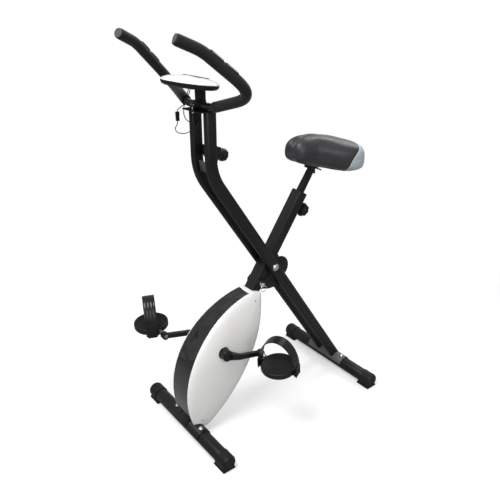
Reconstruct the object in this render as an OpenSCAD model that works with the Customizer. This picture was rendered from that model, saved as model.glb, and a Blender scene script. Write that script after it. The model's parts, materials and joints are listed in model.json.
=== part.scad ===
// Folding exercise bike with an X frame. +X is forward, +Y is the rider's left, +Z is up.
// The origin lies on the floor under the middle of the whole bike.

/* [Feet] */
// Distance between the two floor tubes when the frame is open
foot_span = 593; // [560:1:600]
// Diameter of the floor tubes
foot_d = 42; // [38:0.5:46]
// Length of each floor tube with its end caps
foot_len = 420; // [380:1:460]
// Length of one end cap
cap_len = 42; // [30:1:50]
// Thickness of the rubber end caps around the tube
cap_wall = 2; // [1.5:0.1:3]
// Height of the floor tube's axis above the floor
foot_axis_z = 26; // [25:0.5:30]
// Length of the curved saddle plate on a floor tube
foot_saddle_len = 160; // [140:1:180]
// Distance between the two bolts of a floor tube
foot_bolt_pitch = 130; // [115:1:138]

/* [Seat tube] */
// Width of the seat tube across the bike
seat_tube_w = 38; // [36:0.5:40]
// Depth of the seat tube in the plane of the frame
seat_tube_d = 28; // [26:0.5:30]
// Wall of the frame tubes
frame_wall = 1.8; // [1.5:0.1:2.2]
// Angle of the seat tube from the vertical
seat_tube_lean = 34; // [33:0.25:35]
// Length of the seat tube above the front floor tube
seat_tube_len = 756; // [740:1:775]
// Distance of the pivot up the seat tube
pivot_along = 524; // [515:1:532]
// Distance of the pivot behind the middle of the seat tube
pivot_back = 10.5; // [9:0.5:12]
// Diameter of the pivot bolt
pivot_d = 10; // [8:0.5:12]
// Width of the square seat post
post_w = 21; // [19:0.5:21.5]
// Length of seat post above the seat tube
post_out = 74; // [70:0.5:76]
// Length of seat post inside the seat tube
post_in = 145; // [138:1:148]
// Distance between the holes in the seat post
post_hole_pitch = 20; // [18:1:24]
// Distance of the seat knob below the top of the seat tube
seat_knob_drop = 40; // [34:1:50]
// Diameter of the seat knob
seat_knob_d = 43; // [38:1:48]

/* [Uprights] */
// Width of one upright across the bike
upright_w = 17.5; // [16:0.5:19]
// Depth of one upright in the plane of the frame
upright_d = 34; // [30:1:36]
// Clear gap between the two uprights
upright_gap = 46.5; // [46:0.25:48]
// Distance of the vertical upper stretch in front of the pivot
upright_reach = 213; // [205:1:220]
// Radius of the bend in the uprights
bend_r = 145; // [120:1:160]
// Height of the top of the uprights
upright_top_z = 953; // [930:1:980]

/* [Handlebar and console] */
// Diameter of the steel bar
bar_d = 19; // [17:0.5:21]
// Diameter over the foam grips
foam_d = 26; // [24:0.5:30]
// Width of the console
console_w = 160; // [140:1:175]
// Depth of the console front to back
console_d = 130; // [115:1:140]
// Backward tilt of the console's face
console_tilt = 8.5; // [4:0.5:14]

/* [Drive] */
// Distance of the crank axis up the seat tube
crank_along = 239; // [233:1:243]
// Distance of the crank axis in front of the middle of the seat tube
crank_forward = 43.5; // [41:0.5:45]
// Length of a crank arm between its two axes
crank_len = 112; // [100:1:118]
// Angle of the left crank arm below the horizontal, pointing back
crank_angle = 14.6; // [0:0.1:40]
// Distance of the flywheel axis up the seat tube
flywheel_along = 124; // [120:1:128]
// Diameter of the flywheel
flywheel_d = 152; // [140:1:156]
// Diameter of the crank pulley
pulley_d = 126; // [110:1:128]
// Diameter of the small pulley on the flywheel axle
small_pulley_d = 36; // [30:1:40]
// Width of the drive belt
belt_w = 9; // [8:0.5:10]

/* [Housing] */
// Distance between the rims of the two side shells at their widest
rim_gap = 77; // [76:0.5:80]
// How much nearer to the middle each rim lies at the top of the housing
rim_taper = 14; // [8:0.5:15]
// Height of the bulge of each side shell beyond its rim
bulge = 21; // [17:0.5:22]
// Wall of the shells and the front band
shell_wall = 2.5; // [2:0.1:3]

/* [Pedals] */
// Diameter of the round pedal body
pedal_d = 98; // [90:1:98]
// Thickness of the pedal body
pedal_t = 20; // [18:1:24]
// Distance of the pedal's middle from the middle of the bike
pedal_y = 172; // [170:0.5:178]
// Height of the inside of the toe strap above the pedal axle
strap_rise = 92; // [80:1:96]
// Half the distance between the inner faces of the strap's legs
strap_half = 56; // [53:0.5:60]
// Width of the toe strap
strap_w = 31; // [28:1:34]
// Turn of the strap across the pedal
strap_turn = 25; // [23:1:30]

/* [Hidden] */
$fn = 48;

// Clearances
run_gap = 0.05;       // a shaft in its bearing, on the radius
slip = 0.3;           // parts of two bodies that pass each other
seat_gap = 0.1;       // flat parts that slide in a guide
eps = 0.01;

// Frame geometry
front_foot_x = 277.5;
rear_foot_x = front_foot_x - foot_span;
foot_top_z = foot_axis_z + foot_d / 2;
plate_t = 3;
foot_bolt_d = 8;
foot_head_d = 15;
seat_base = [front_foot_x + 2, 0, foot_top_z];
tube_dir = [-sin(seat_tube_lean), 0, cos(seat_tube_lean)];
tube_front = [cos(seat_tube_lean), 0, sin(seat_tube_lean)];
function on_tube(along, forward = 0) = seat_base + along * tube_dir + forward * tube_front;
pivot = on_tube(pivot_along, -pivot_back);
crank_axis = on_tube(crank_along, crank_forward);
flywheel_axis = on_tube(flywheel_along);
upright_base = [rear_foot_x + 5, 0, foot_top_z];
upright_lean = atan2(pivot[0] - upright_base[0], pivot[2] - upright_base[2]);
upright_x = pivot[0] + upright_reach;
upright_y = (upright_gap + upright_w) / 2;
bend_meet_z = pivot[2] + upright_reach / tan(upright_lean);
bend_run = bend_r * tan(upright_lean / 2);
bend_centre = [upright_x - bend_r, 0, bend_meet_z + bend_run];
bend_steps = 10;

// Cross plate between the uprights and the tension control behind them
brace_h = 28;
brace_turn = 11;
tension_at = [upright_x - 42.5, 0, bend_centre[2] + 2];
tension_tilt = 22;

// Pivot and lock
sleeve_d = pivot_d + 6;
cheek_t = 3;
cheek_r = 36;
cheek_centre = [-29, -15];
bolt_head_d = 23;
bolt_head_h = 5.5;
lock_along = pivot_along - 63;
lock_axis = on_tube(lock_along);
lock_pin_d = 8;
lock_plate_t = 3;
lock_pin_in = 1.3;       // depth of the pin's tip inside the tube wall
lock_head_d = 15;
pin_head_y = upright_gap / 2 + slip;
ring_y = upright_gap / 2 + 15;
ring_d = 20;
ring_wire_d = 2.2;
pin_neck_d = 6;

// Housing outline, seen from the left, as corners and the height of the arc between them
hub_top_rear = [24, 405];
hub_top_front = [52, 414];
hub_front = [297.5, 190];
hub_low_front = [275.5, 26];
hub_low_rear = [235.5, 24];
arc_upper = 56;
arc_lower = 13;
arc_rear = 57;
hub_middle = [177.5, 230];
screw_points = [[52, 388], [259.5, 60]];
screw_d = 3;
screw_head_d = 5;
shell_y = rim_gap / 2;
low_taper = 1;
dome_steps = 8;
dome_end = 78;
band_gap = 0.4;          // between the band and the shells' edges
band_from = 1;           // first point of the outline that the band covers

// Drive train across the bike
bearing_w = 10;
crank_axle_d = 17;
crank_bearing_d = 35;
shell_od = 41;
flywheel_axle_d = 10;
flywheel_bearing_d = 26;
flywheel_bearing_w = 8;
hub_od = 31;
belt_y = 28;
belt_t = 2.4;
belt_gap = 0.2;
flywheel_t = 13;
flywheel_y = -27.5;
magnet_along = flywheel_along + 84;
magnet_forward = 36;
magnet_pivot = on_tube(magnet_along, magnet_forward);
magnet_pin_d = 6;
magnet_gap = 7;
magnet_arc = 58;
magnet_lug_h = 12;
arm_y = 88;              // middle of the crank arm's outer end
arm_t = 12;
arm_h = 14;
boss_d = 33;
boss_in_y = 58;
crank_cap_d = 22;
boss_len = 20;
crank_axle_end = boss_in_y + boss_len - 1;
pedal_axle_d = 12;
pedal_boss_d = 22;
crank_dir = [-cos(crank_angle), 0, -sin(crank_angle)];
left_pedal_at = crank_axis + crank_len * crank_dir + [0, pedal_y, 0];
right_pedal_at = crank_axis - crank_len * crank_dir - [0, pedal_y, 0];
left_pedal_pitch = 4;
right_pedal_pitch = 2;
pedal_axle_end = pedal_y + pedal_d / 2 - 8;
strap_t = 2.4;
strap_low = 9;           // depth of the strap's ends below the axle
strap_spring = 8;        // height above the axle where the strap starts to curve
tab_t = 3.2;
tab_h = 32;
lug_w = 24;
lug_h = 7;

// Handlebar centre line, left half, from the middle of the bar to the end of the grip
bar_mid = [upright_x + 8, 0, upright_top_z + 2.5 + bar_d / 2];
bar_corner = [upright_x - 20, 187, bar_mid[2] + 40];
bar_knee = [upright_x + 90.2, 145, bar_mid[2] + 138];
bar_end = [upright_x + 141, 127, bar_mid[2] + 161.5];
bar_bend_y = 52;
foam_start_y = 62;
pulse_places = [0.23, 0.59];
pulse_arc = 96;
pulse_l = 44;
pulse_t = 2.6;
bar_sides = 16;

// Plastic guide inside the top of the seat tube: half its depth and half its width
sleeve_x = seat_tube_d / 2 - frame_wall - run_gap;
sleeve_y = seat_tube_w / 2 - frame_wall - run_gap;

// Saddle: stations from nose to tail give place, half width, underside and top, where the place
// and the heights are measured from the top of the seat post
post_top = on_tube(seat_tube_len + post_out);
saddle_front = 83.6;
stations = [[0, 24, 46.9, 82.9], [4, 33, 41.9, 91.9], [12, 40, 37.9, 99.9], [32, 46, 30.9, 105.9],
    [67, 53, 19.9, 104.9], [102, 70, 10.9, 101.9], [132, 89, 2.9, 96.9], [162, 102, -3.1, 88.9],
    [187, 105, -5.1, 81.9], [207, 100, -4.1, 74.9], [221, 83, 0.9, 67.9], [228, 58, 8.9, 59.9]];
base_t = 5;
base_inset = 16;
corner_t = 1.2;
corner_gap = 0.5;
corner_low = 5;          // height of the panels' lower edge above the pad's underside
corner_from = 38;        // half the distance between the two corner panels
corner_line = [[150, 2], [154, 20], [160, 33], [168, 45], [178, 56], [190, 66], [205, 76], [222, 86]];
post_plate_t = 4;
post_plate_tilt = 14.5;
post_plate = [92, 44];

// Console
console_at = [upright_x + 32, 0, 1021];
console_post_x = upright_x + 4;
neck_l = 21;
neck_w = 19;
clamp_w = 30;
clamp_l = 50;
clamp_bolt_x = 18.5;
cover_h = 15;
display = [34, 60, 3];
display_x = -16;
display_top = 12.6;
display_tilt = 3.5;
button_d = 10;
button_x = -43;
button_top = 12.2;
board_z = -3.4;          // underside of the circuit board below the rim of the cover
board_t = 1.6;
board_x = [-48, 20];
board_y = 25;
board_posts = [[-20, -20], [-20, 20], [14, -20], [14, 20]];
lead_exits = [[-12, -14], [-4, -10]];

// Seat knob and console button
knob_pin_d = 8;
knob_travel = 9;
button_travel = 1.2;

// Leads: thin wires from the console to a plug and into the right upright, as places in front of
// the uprights' middle line and heights above their top
lead_d = 2.2;
lead_base = [upright_x, 0, upright_top_z];
lead_route = [[21.8, -14, 57], [22, -14.5, 51], [20.7, -24, 37], [19.7, -38, 23], [21.2, -49, 9],
    [23.2, -60, 1.5], [24.7, -70, -4.5], [25.2, -75, -9.5], [25.2, -76, -12.1]];
lead_return = [[25.2, -76, -35.9], [25.3, -77, -41], [25.5, -81.5, -47.5], [25.5, -87, -53.5],
    [25.4, -89, -59.5], [25.3, -84.5, -64], [25.3, -76, -65.5], [25.2, -64, -65], [25, -52, -63.5],
    [24.4, -40, -60.5], [23, -29, -56], [20.5, -20.5, -51], [16, -14, -46.3], [10.7, -11.5, -42],
    [6.5, -13.5, -38.7], [4.4, -18, -37.1], [4.2, -23, -37], [4.2, -28, -37]];
lead_straight = [[29.4, -10, 58], [30.2, -10.2, 51], [32.7, -14, 37], [35.7, -20, 21], [36.7, -25, 3],
    [35.8, -27, -10], [32, -26, -21.5], [25.5, -21.5, -29], [18, -15.5, -32.3], [11.2, -12, -32.8],
    [6.5, -13.4, -32.4], [4.4, -18, -32], [4.2, -23, -32], [4.2, -28, -32]];
lead_hole = [4.2, -34.5];
lead_hole_d = 9;
plug_at = [25.2, -76, -24];
plug_size = [9, 7, 23.8];

// ---------- helpers ----------

function arc_between(a, b, rise, n = 14) =
    let (chord = norm(b - a), r = (chord * chord / 4 + rise * rise) / (2 * rise),
        along = (b - a) / chord, out = [-along[1], along[0]],
        centre = (a + b) / 2 - out * (r - rise), half = asin(chord / 2 / r))
    [for (i = [0:n - 1]) let (t = -half + 2 * half * i / n)
        centre + r * (sin(t) * along + cos(t) * out)];

upper_count = 28;
lower_count = 14;
hub_outline = concat(
    arc_between(hub_top_front, hub_front, arc_upper, upper_count),
    arc_between(hub_front, hub_low_front, arc_lower, lower_count),
    [hub_low_front],
    arc_between(hub_low_rear, hub_top_rear, arc_rear, 22),
    [hub_top_rear]);

function toward_middle(p, step) =
    let (v = hub_middle - p) p + v / norm(v) * step;

hub_inner = [for (p = hub_outline) toward_middle(p, shell_wall * 1.15)];

function total(list, i = 0) = i == len(list) - 1 ? list[i] : list[i] + total(list, i + 1);

// Positive where the first ring runs anticlockwise, seen from outside the end that it starts
function facing(rings) =
    let (a = rings[0], n = len(a), b = rings[1],
        normal = total([for (i = [1:n - 2]) cross(a[i] - a[0], a[i + 1] - a[0])]))
    normal * (total(b) / len(b) - total(a) / n);

function turned(ring) = [for (i = [len(ring) - 1:-1:0]) ring[i]];

// Closed solid through rings of points that all have the same number of points
module skin(given) {
    rings = facing(given) > 0 ? given : [for (ring = given) turned(ring)];
    n = len(rings[0]);
    m = len(rings);
    points = [for (ring = rings) each ring];
    sides = [for (k = [0:m - 2]) for (i = [0:n - 1])
        let (j = (i + 1) % n)
        [k * n + i, (k + 1) * n + i, (k + 1) * n + j, k * n + j]];
    first = [for (i = [0:n - 1]) i];
    last = [for (i = [n - 1:-1:0]) (m - 1) * n + i];
    polyhedron(points, concat([first], sides, [last]), convexity = 8);
}

// Frame of the seat tube: origin at its foot, local Z up the tube, local X forward
module along_seat_tube(along = 0, forward = 0)
    translate(on_tube(along, forward)) rotate([0, -seat_tube_lean, 0]) children();

// Cylinder along Y between two Y positions, around a point given by its X and Z
module across(at, y0, y1, d)
    translate([at[0], y0, at[2]]) rotate([-90, 0, 0]) cylinder(d = d, h = y1 - y0);

// Plate in the plane of the frame between two Y positions: a 2D shape in X and Z
module plate(y0, y1)
    translate([0, y1, 0]) rotate([90, 0, 0]) linear_extrude(y1 - y0) children();

module both_sides() {
    children();
    mirror([0, 1, 0]) children();
}

// ---------- floor tubes ----------

module foot_tube(x) {
    translate([x, 0, foot_axis_z]) rotate([90, 0, 0]) difference() {
        cylinder(d = foot_d, h = foot_len - 2 * cap_wall - 1, center = true);
        cylinder(d = foot_d - 2 * frame_wall, h = foot_len, center = true);
        for (s = [-1, 1]) translate([0, foot_d / 2, s * foot_bolt_pitch / 2]) rotate([90, 0, 0])
            cylinder(d = foot_bolt_d + 0.4, h = foot_d, center = true);
    }
}

// Curved saddle plate that a frame tube is welded to
module foot_saddle(x) {
    translate([x, 0, foot_axis_z]) rotate([90, 0, 0]) difference() {
        cylinder(d = foot_d + 2 * plate_t, h = foot_saddle_len, center = true);
        cylinder(d = foot_d, h = foot_saddle_len + 2, center = true);
        translate([0, -foot_d / 2 + 4, 0])
            cube([foot_d * 2, foot_d, foot_saddle_len + 2], center = true);
        for (s = [-1, 1]) translate([0, foot_d / 2, s * foot_bolt_pitch / 2]) rotate([90, 0, 0])
            cylinder(d = foot_bolt_d + 0.4, h = foot_d, center = true);
    }
}

module dome_bolt(d, head_d, head_h, len) {
    r = (head_d * head_d / 4 + head_h * head_h) / (2 * head_h);
    intersection() {
        translate([0, 0, head_h - r]) sphere(r);
        cylinder(d = head_d, h = head_h);
    }
    translate([0, 0, -len]) cylinder(d = d, h = len + eps);
}

module foot_bolts(x) {
    for (s = [-1, 1]) translate([x, s * foot_bolt_pitch / 2, foot_top_z + plate_t]) {
        dome_bolt(foot_bolt_d, foot_head_d, 5, foot_d / 2 + plate_t);
        translate([0, 0, -foot_d / 2 - 3]) cylinder(d = 13, h = 6, $fn = 6);
    }
}

module foot_cap(x) {
    block_w = foot_d - 4;
    difference() {
        union() {
            translate([x, foot_len / 2 - cap_len, foot_axis_z]) rotate([-90, 0, 0])
                cylinder(d = foot_d + 2 * cap_wall, h = cap_len - 3);
            translate([x, foot_len / 2 - 3 - eps, foot_axis_z]) rotate([-90, 0, 0])
                cylinder(d1 = foot_d + 2 * cap_wall, d2 = foot_d - 4, h = 3);
            translate([x - block_w / 2, foot_len / 2 - cap_len - 8, 0])
                cube([block_w, cap_len + 4, foot_axis_z - foot_d / 4]);
        }
        translate([x, foot_len / 2 - cap_len - 9, foot_axis_z]) rotate([-90, 0, 0])
            cylinder(d = foot_d, h = cap_len + 9 - cap_wall - 0.5);
    }
}

module front_foot_tube() color("#2a2b2d") foot_tube(front_foot_x);
module rear_foot_tube() color("#2a2b2d") foot_tube(rear_foot_x);
module front_foot_bolts() color("silver") foot_bolts(front_foot_x);
module rear_foot_bolts() color("silver") foot_bolts(rear_foot_x);
module front_foot_caps() color("#1c1d1e") both_sides() foot_cap(front_foot_x);
module rear_foot_caps() color("#1c1d1e") both_sides() foot_cap(rear_foot_x);

// ---------- main frame ----------

module seat_tube() color("#2c2d2f") difference() {
    union() {
        difference() {
            union() {
                along_seat_tube() translate([-seat_tube_d / 2, -seat_tube_w / 2, -foot_d / 2])
                    cube([seat_tube_d, seat_tube_w, seat_tube_len + foot_d / 2]);
                foot_saddle(front_foot_x);
            }
            along_seat_tube() translate([-seat_tube_d / 2 + frame_wall,
                -seat_tube_w / 2 + frame_wall, -foot_d])
                cube([seat_tube_d - 2 * frame_wall, seat_tube_w - 2 * frame_wall,
                    seat_tube_len + 2 * foot_d]);
            across([front_foot_x, 0, foot_axis_z], -foot_len / 2, foot_len / 2, foot_d);
        }
        across(pivot, -seat_tube_w / 2 + 0.4, seat_tube_w / 2 - 0.4, sleeve_d);
        across(flywheel_axis, -seat_tube_w / 2 - 1, seat_tube_w / 2 + 1, hub_od);
        along_seat_tube(seat_tube_len - seat_knob_drop, -seat_tube_d / 2 - 10)
            rotate([0, 90, 0]) cylinder(d = 18, h = 10 + frame_wall);
    }
    across(pivot, -seat_tube_w, seat_tube_w, pivot_d + 2 * run_gap);
    across(flywheel_axis, -seat_tube_w, seat_tube_w, flywheel_bearing_d - 6);
    for (s = [-1, 1]) translate([0, s * (seat_tube_w / 2 + 1 - flywheel_bearing_w / 2), 0])
        across(flywheel_axis, -flywheel_bearing_w / 2 - eps, flywheel_bearing_w / 2 + eps,
            flywheel_bearing_d);
    across(lock_axis, 0, seat_tube_w, lock_pin_d + 2 * run_gap + 0.3);
    along_seat_tube(seat_tube_len - seat_knob_drop, -seat_tube_d)
        rotate([0, 90, 0]) cylinder(d = knob_pin_d + 2 * run_gap, h = seat_tube_d);
}

// Two rounded cheeks welded to the seat tube around the pivot
module pivot_bracket() color("#333436") both_sides() difference() {
    plate(seat_tube_w / 2, seat_tube_w / 2 + cheek_t) {
        translate([pivot[0], pivot[2]]) intersection() {
            union() {
                translate(cheek_centre) circle(cheek_r);
                circle(d = sleeve_d + 12);
            }
            rotate(seat_tube_lean) translate([-100 + pivot_back + seat_tube_d / 2 - 1, -60])
                square([100, 120]);
        }
    }
    across(pivot, 0, seat_tube_w, pivot_d + 2 * run_gap);
}

module bottom_bracket() color("#2c2d2f") difference() {
    union() {
        across(crank_axis, -seat_tube_w / 2 - 1, seat_tube_w / 2 + 1, shell_od);
        along_seat_tube(crank_along) translate([seat_tube_d / 2, -seat_tube_w / 2 + 4, -shell_od / 2])
            cube([crank_forward - seat_tube_d / 2, seat_tube_w - 8, shell_od]);
        along_seat_tube(magnet_along)
            translate([seat_tube_d / 2, -seat_tube_w / 2 + 2, -magnet_lug_h / 2])
                cube([magnet_forward + magnet_lug_h / 2 - seat_tube_d / 2, 12, magnet_lug_h + 8]);
        across(magnet_pivot, flywheel_y - flywheel_t / 2 - 1, -seat_tube_w / 2 + 4, magnet_pin_d);
    }
    across(crank_axis, -seat_tube_w, seat_tube_w, crank_bearing_d - 6);
    for (s = [-1, 1]) translate([0, s * (seat_tube_w / 2 + 1 - bearing_w / 2), 0])
        across(crank_axis, -bearing_w / 2 - eps, bearing_w / 2 + eps, crank_bearing_d);
}

module bearing(at, y, w, bore, od) {
    translate([at[0], y, at[2]]) rotate([90, 0, 0]) difference() {
        cylinder(d = od, h = w, center = true);
        cylinder(d = bore + 2 * run_gap, h = w + 1, center = true);
        for (s = [-1, 1]) translate([0, 0, s * w / 2]) difference() {
            cylinder(d = od - 4, h = 1, center = true);
            cylinder(d = bore + 5, h = 2, center = true);
        }
    }
}

module ball_bearings() color("silver") for (s = [-1, 1]) {
    bearing(crank_axis, s * (seat_tube_w / 2 + 1 - bearing_w / 2), bearing_w,
        crank_axle_d, crank_bearing_d);
    bearing(flywheel_axis, s * (seat_tube_w / 2 + 1 - flywheel_bearing_w / 2),
        flywheel_bearing_w, flywheel_axle_d, flywheel_bearing_d);
}

module seat_sleeve() color("#161718") along_seat_tube(seat_tube_len) difference() {
    union() {
        translate([-seat_tube_d / 2, -seat_tube_w / 2, 0]) cube([seat_tube_d, seat_tube_w, 3]);
        translate([-sleeve_x, -sleeve_y, -75]) cube([2 * sleeve_x, 2 * sleeve_y, 75 + eps]);
    }
    translate([-post_w / 2 - seat_gap, -post_w / 2 - seat_gap, -80])
        cube([post_w + 2 * seat_gap, post_w + 2 * seat_gap, 90]);
    translate([-seat_tube_d, 0, -seat_knob_drop]) rotate([0, 90, 0])
        cylinder(d = knob_pin_d + 2 * run_gap, h = seat_tube_d);
}

// ---------- housing ----------

// Half the gap between the two rims at a point of the outline
function rim_at(p) =
    let (v = (p[1] - hub_middle[1]) / 190)
    shell_y - (v > 0 ? rim_taper : low_taper) * v * v;

function dome_ring(outline, f, y) =
    [for (p = outline) let (q = hub_middle + f * (p - hub_middle)) [q[0], y, q[1]]];

// Ring of the dome at an angle from its rim, where the rim's own curve fades towards the middle
function rim_ring(outline, a, rise) = [for (p = outline) let (f = cos(a),
    q = hub_middle + f * (p - hub_middle), fade = (f - cos(dome_end)) / (1 - cos(dome_end)))
    [q[0], shell_y + rise * sin(a) - (shell_y - rim_at(p)) * fade, q[1]]];

function dome_rings(outline, y0, rise) = concat(
    [dome_ring(outline, 1, y0)],
    [for (k = [0:dome_steps]) rim_ring(outline, dome_end * k / dome_steps, rise)]);

// The part of the outline that the front band covers, from the top to the bottom
band_line = [for (i = [band_from:upper_count + lower_count - 2]) hub_outline[i]];

// Rings of a strip along the band's line between two depths under it; wide is its growth in Y
function strip_rings(line, over, under, wide) = [for (p = line) let (y = rim_at(p) + wide,
    a = toward_middle(p, -over), b = toward_middle(p, under))
    [[a[0], -y, a[1]], [a[0], y, a[1]], [b[0], y, b[1]], [b[0], -y, b[1]]]];

// The same line with both ends moved outwards by a gap
function stretched(line, gap) = let (n = len(line) - 1)
    concat([line[0] + (line[0] - line[1]) / norm(line[0] - line[1]) * gap],
        [for (i = [1:n - 1]) line[i]],
        [line[n] + (line[n] - line[n - 1]) / norm(line[n] - line[n - 1]) * gap]);

module foot_clearance() translate([front_foot_x, 0, foot_axis_z]) rotate([90, 0, 0])
    cylinder(d = foot_d + 2 * plate_t + 1, h = foot_saddle_len, center = true);

module side_shell() difference() {
    skin(dome_rings(hub_outline, 0.15, bulge));
    skin(dome_rings(hub_inner, -2, bulge - shell_wall));
    skin(strip_rings(stretched(band_line, band_gap), 20, 24, band_gap / 2));
    along_seat_tube(-60) translate([-seat_tube_d / 2 - slip, -seat_tube_w / 2 - slip, 0])
        cube([seat_tube_d + 2 * slip, seat_tube_w + 2 * slip, 600]);
    foot_clearance();
    across(crank_axis, 0, 80, boss_d + 4);
    for (at = screw_points) across([at[0], 0, at[1]], 30, 60, 5.2);
}

module left_shell() color("#e9e8e6") side_shell();
module right_shell() color("#e9e8e6") mirror([0, 1, 0]) side_shell();

module front_band() color("#33363a") difference() {
    skin(strip_rings(band_line, 0, shell_wall, -band_gap / 2));
    foot_clearance();
    along_seat_tube(-60) translate([-seat_tube_d / 2 - slip, -seat_tube_w / 2 - slip, 0])
        cube([seat_tube_d + 2 * slip, seat_tube_w + 2 * slip, 600]);
}

// Height of the shell's outer face above the middle plane at a point of the outline plane
function shell_height(p) =
    let (v = p - hub_middle, reach = hub_reach(atan2(v[1], v[0])), f = min(1, norm(v) / reach),
        fade = (f - cos(dome_end)) / (1 - cos(dome_end)))
    shell_y + bulge * sin(acos(f)) - (shell_y - rim_at(hub_middle + v / f)) * fade;

// Distance from the middle of the housing to its outline in a direction
function hub_reach(a) = max([for (p = hub_outline) let (v = p - hub_middle,
    off = abs((atan2(v[1], v[0]) - a + 540) % 360 - 180)) off < 6 ? norm(v) : 0]);

module shell_screws() color("silver") for (s = [-1, 1]) for (at = screw_points)
    translate([at[0], s * (shell_height(at) - 2.4), at[1]]) rotate([-90 * s, 0, 0]) {
        cylinder(d = 5, h = 1.8);
        translate([0, 0, -14]) cylinder(d = 3, h = 14 + eps);
    }

module speed_sensor() color("#202224") along_seat_tube(crank_along - 40)
    translate([seat_tube_d / 2, seat_tube_w / 2 - 14, 0]) {
        cube([16, 14, 12]);
        translate([16 - eps, 4, 2]) cube([12, 8, 8]);
    }

// Loop around two circles, the small one at the origin and the big one a gap away along X
function belt_loop(big, small, gap) =
    let (t = acos((big - small) / gap))
    concat([for (i = [0:40]) let (a = t - 180 + (360 - 2 * t) * i / 40)
        [gap, 0] + big * [cos(a), sin(a)]],
        [for (i = [0:16]) let (a = 180 - t + 2 * t * i / 16) small * [cos(a), sin(a)]]);

module drive_belt() color("#151515") {
    big = pulley_d / 2 + belt_gap;
    small = small_pulley_d / 2 + belt_gap;
    gap = norm(crank_axis - flywheel_axis);
    line = atan2(crank_axis[2] - flywheel_axis[2], crank_axis[0] - flywheel_axis[0]);
    translate([flywheel_axis[0], belt_y + belt_w / 2, flywheel_axis[2]]) rotate([90, 0, 0])
        rotate(line) linear_extrude(belt_w) difference() {
            polygon(belt_loop(big + belt_t, small + belt_t, gap));
            polygon(belt_loop(big, small, gap));
        }
}

// ---------- rear frame ----------

// Points of a flat oval of width w and depth d, its round ends in short chords
function flat_oval(w, d) = [for (s = [0, 1]) for (i = [0:10]) let (a = 180 * s - 90 + 18 * i)
    [(1 - 2 * s) * (d - w) / 2, 0] + w / 2 * [cos(a), sin(a)]];

// One ring of an upright: its middle, how far it is turned from the vertical, and its size
function upright_ring(at, turn, w, d) = [for (p = flat_oval(w, d))
    at + p[0] * [cos(turn), 0, -sin(turn)] + [0, upright_y + p[1], 0]];

// One upright as a solid bar from the floor tube round the bend to the handlebar, or its bore
module upright_bar(w, d, extra = 0) {
    lower = [sin(upright_lean), 0, cos(upright_lean)];
    skin(concat(
        [upright_ring(upright_base - (foot_d / 2 + extra) * lower, upright_lean, w, d)],
        [for (i = [0:bend_steps]) let (a = upright_lean * (1 - i / bend_steps))
            upright_ring(bend_centre + bend_r * [cos(a), 0, -sin(a)], a, w, d)],
        [upright_ring([upright_x, 0, upright_top_z + extra], 0, w, d)]));
}

module upright() difference() {
    upright_bar(upright_w, upright_d);
    upright_bar(upright_w - 2 * frame_wall, upright_d - 2 * frame_wall, 1);
    across([rear_foot_x, 0, foot_axis_z], -foot_len, foot_len, foot_d + 2 * plate_t);
    across(pivot, 0, 60, pivot_d);
}

module left_upright() color("#27282a") upright();
module right_upright() color("#27282a") difference() {
    mirror([0, 1, 0]) upright();
    across(lead_base + [lead_hole[0], 0, lead_hole[1]], -upright_gap / 2 - 10, -upright_gap / 2 + 1,
        lead_hole_d);
}

module upright_brace() color("#4b4d50") {
    translate([bend_centre[0], 0, bend_centre[2]]) rotate([0, brace_turn, 0])
        translate([bend_r - 2, -upright_gap / 2, -brace_h / 2])
            cube([plate_t, upright_gap, brace_h]);
    foot_saddle(rear_foot_x);
}

// Two plates inside the uprights that the lock pin ties to the seat tube
module lock_plates() color("#1f2022") both_sides() difference() {
    plate(upright_gap / 2 - lock_plate_t, upright_gap / 2)
        translate([pivot[0], pivot[2]]) lock_outline();
    across(lock_axis, 0, 60, lock_pin_d + 2 * run_gap);
}

module lock_outline() {
    lock = [lock_axis[0] - pivot[0], lock_axis[2] - pivot[2]];
    difference() {
        polygon([lock + [14, 6], lock + [4, 15], lock + [-18, 9], [3, -30], [-12, -36],
            [-22, -50], [-30, -74], [10, -74], lock + [6, -16], lock + [15, -8]]);
        translate(cheek_centre) circle(cheek_r + 1.5);
        circle(cheek_r - 4);
    }
}

module pivot_bolt() color("silver") {
    y = upright_gap / 2 + upright_w;
    translate([pivot[0], y, pivot[2]]) rotate([-90, 0, 0])
        dome_bolt(pivot_d, bolt_head_d, bolt_head_h, 2 * y + 12);
    difference() {
        across(pivot, -y - 9, -y - 1.6, 19);
        across(pivot, -y - 10, -y, pivot_d);
    }
    difference() {
        across(pivot, -y - 1.5, -y, 24);
        across(pivot, -y - 2, -y + 1, pivot_d);
    }
}

// ---------- handlebar ----------

function mid(a, b, t) = a + t * (b - a);

// Points of a line that turns round each corner on a quadratic curve
function rounded(a, b, c, cut, n = 6) =
    let (p = b + (a - b) / norm(a - b) * cut, q = b + (c - b) / norm(c - b) * cut)
    [for (i = [0:n]) let (t = i / n) (1 - t) * (1 - t) * p + 2 * t * (1 - t) * b + t * t * q];

bar_side = [bar_mid[0], bar_bend_y, bar_mid[2]];
bar_half = concat([bar_mid], rounded(bar_mid, bar_side, bar_corner, 22, 5),
    rounded(bar_side, bar_corner, bar_knee, 62, 10), rounded(bar_corner, bar_knee, bar_end, 18, 5),
    [bar_end]);

function flip(points) = [for (i = [len(points) - 1:-1:0]) [points[i][0], -points[i][1], points[i][2]]];

function unit(v) = v / norm(v);

// Rings of a tube of n sides along a line, carried without twist from a side direction
function tube_rings(line, r, n, side) = [for (i = [0:len(line) - 1])
    let (ahead = unit(line[min(i + 1, len(line) - 1)] - line[max(i - 1, 0)]),
        u = unit(side - (side * ahead) * ahead), v = cross(ahead, u))
    [for (k = [0:n - 1]) line[i] + r * (cos(360 * k / n) * u + sin(360 * k / n) * v)]];

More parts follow.
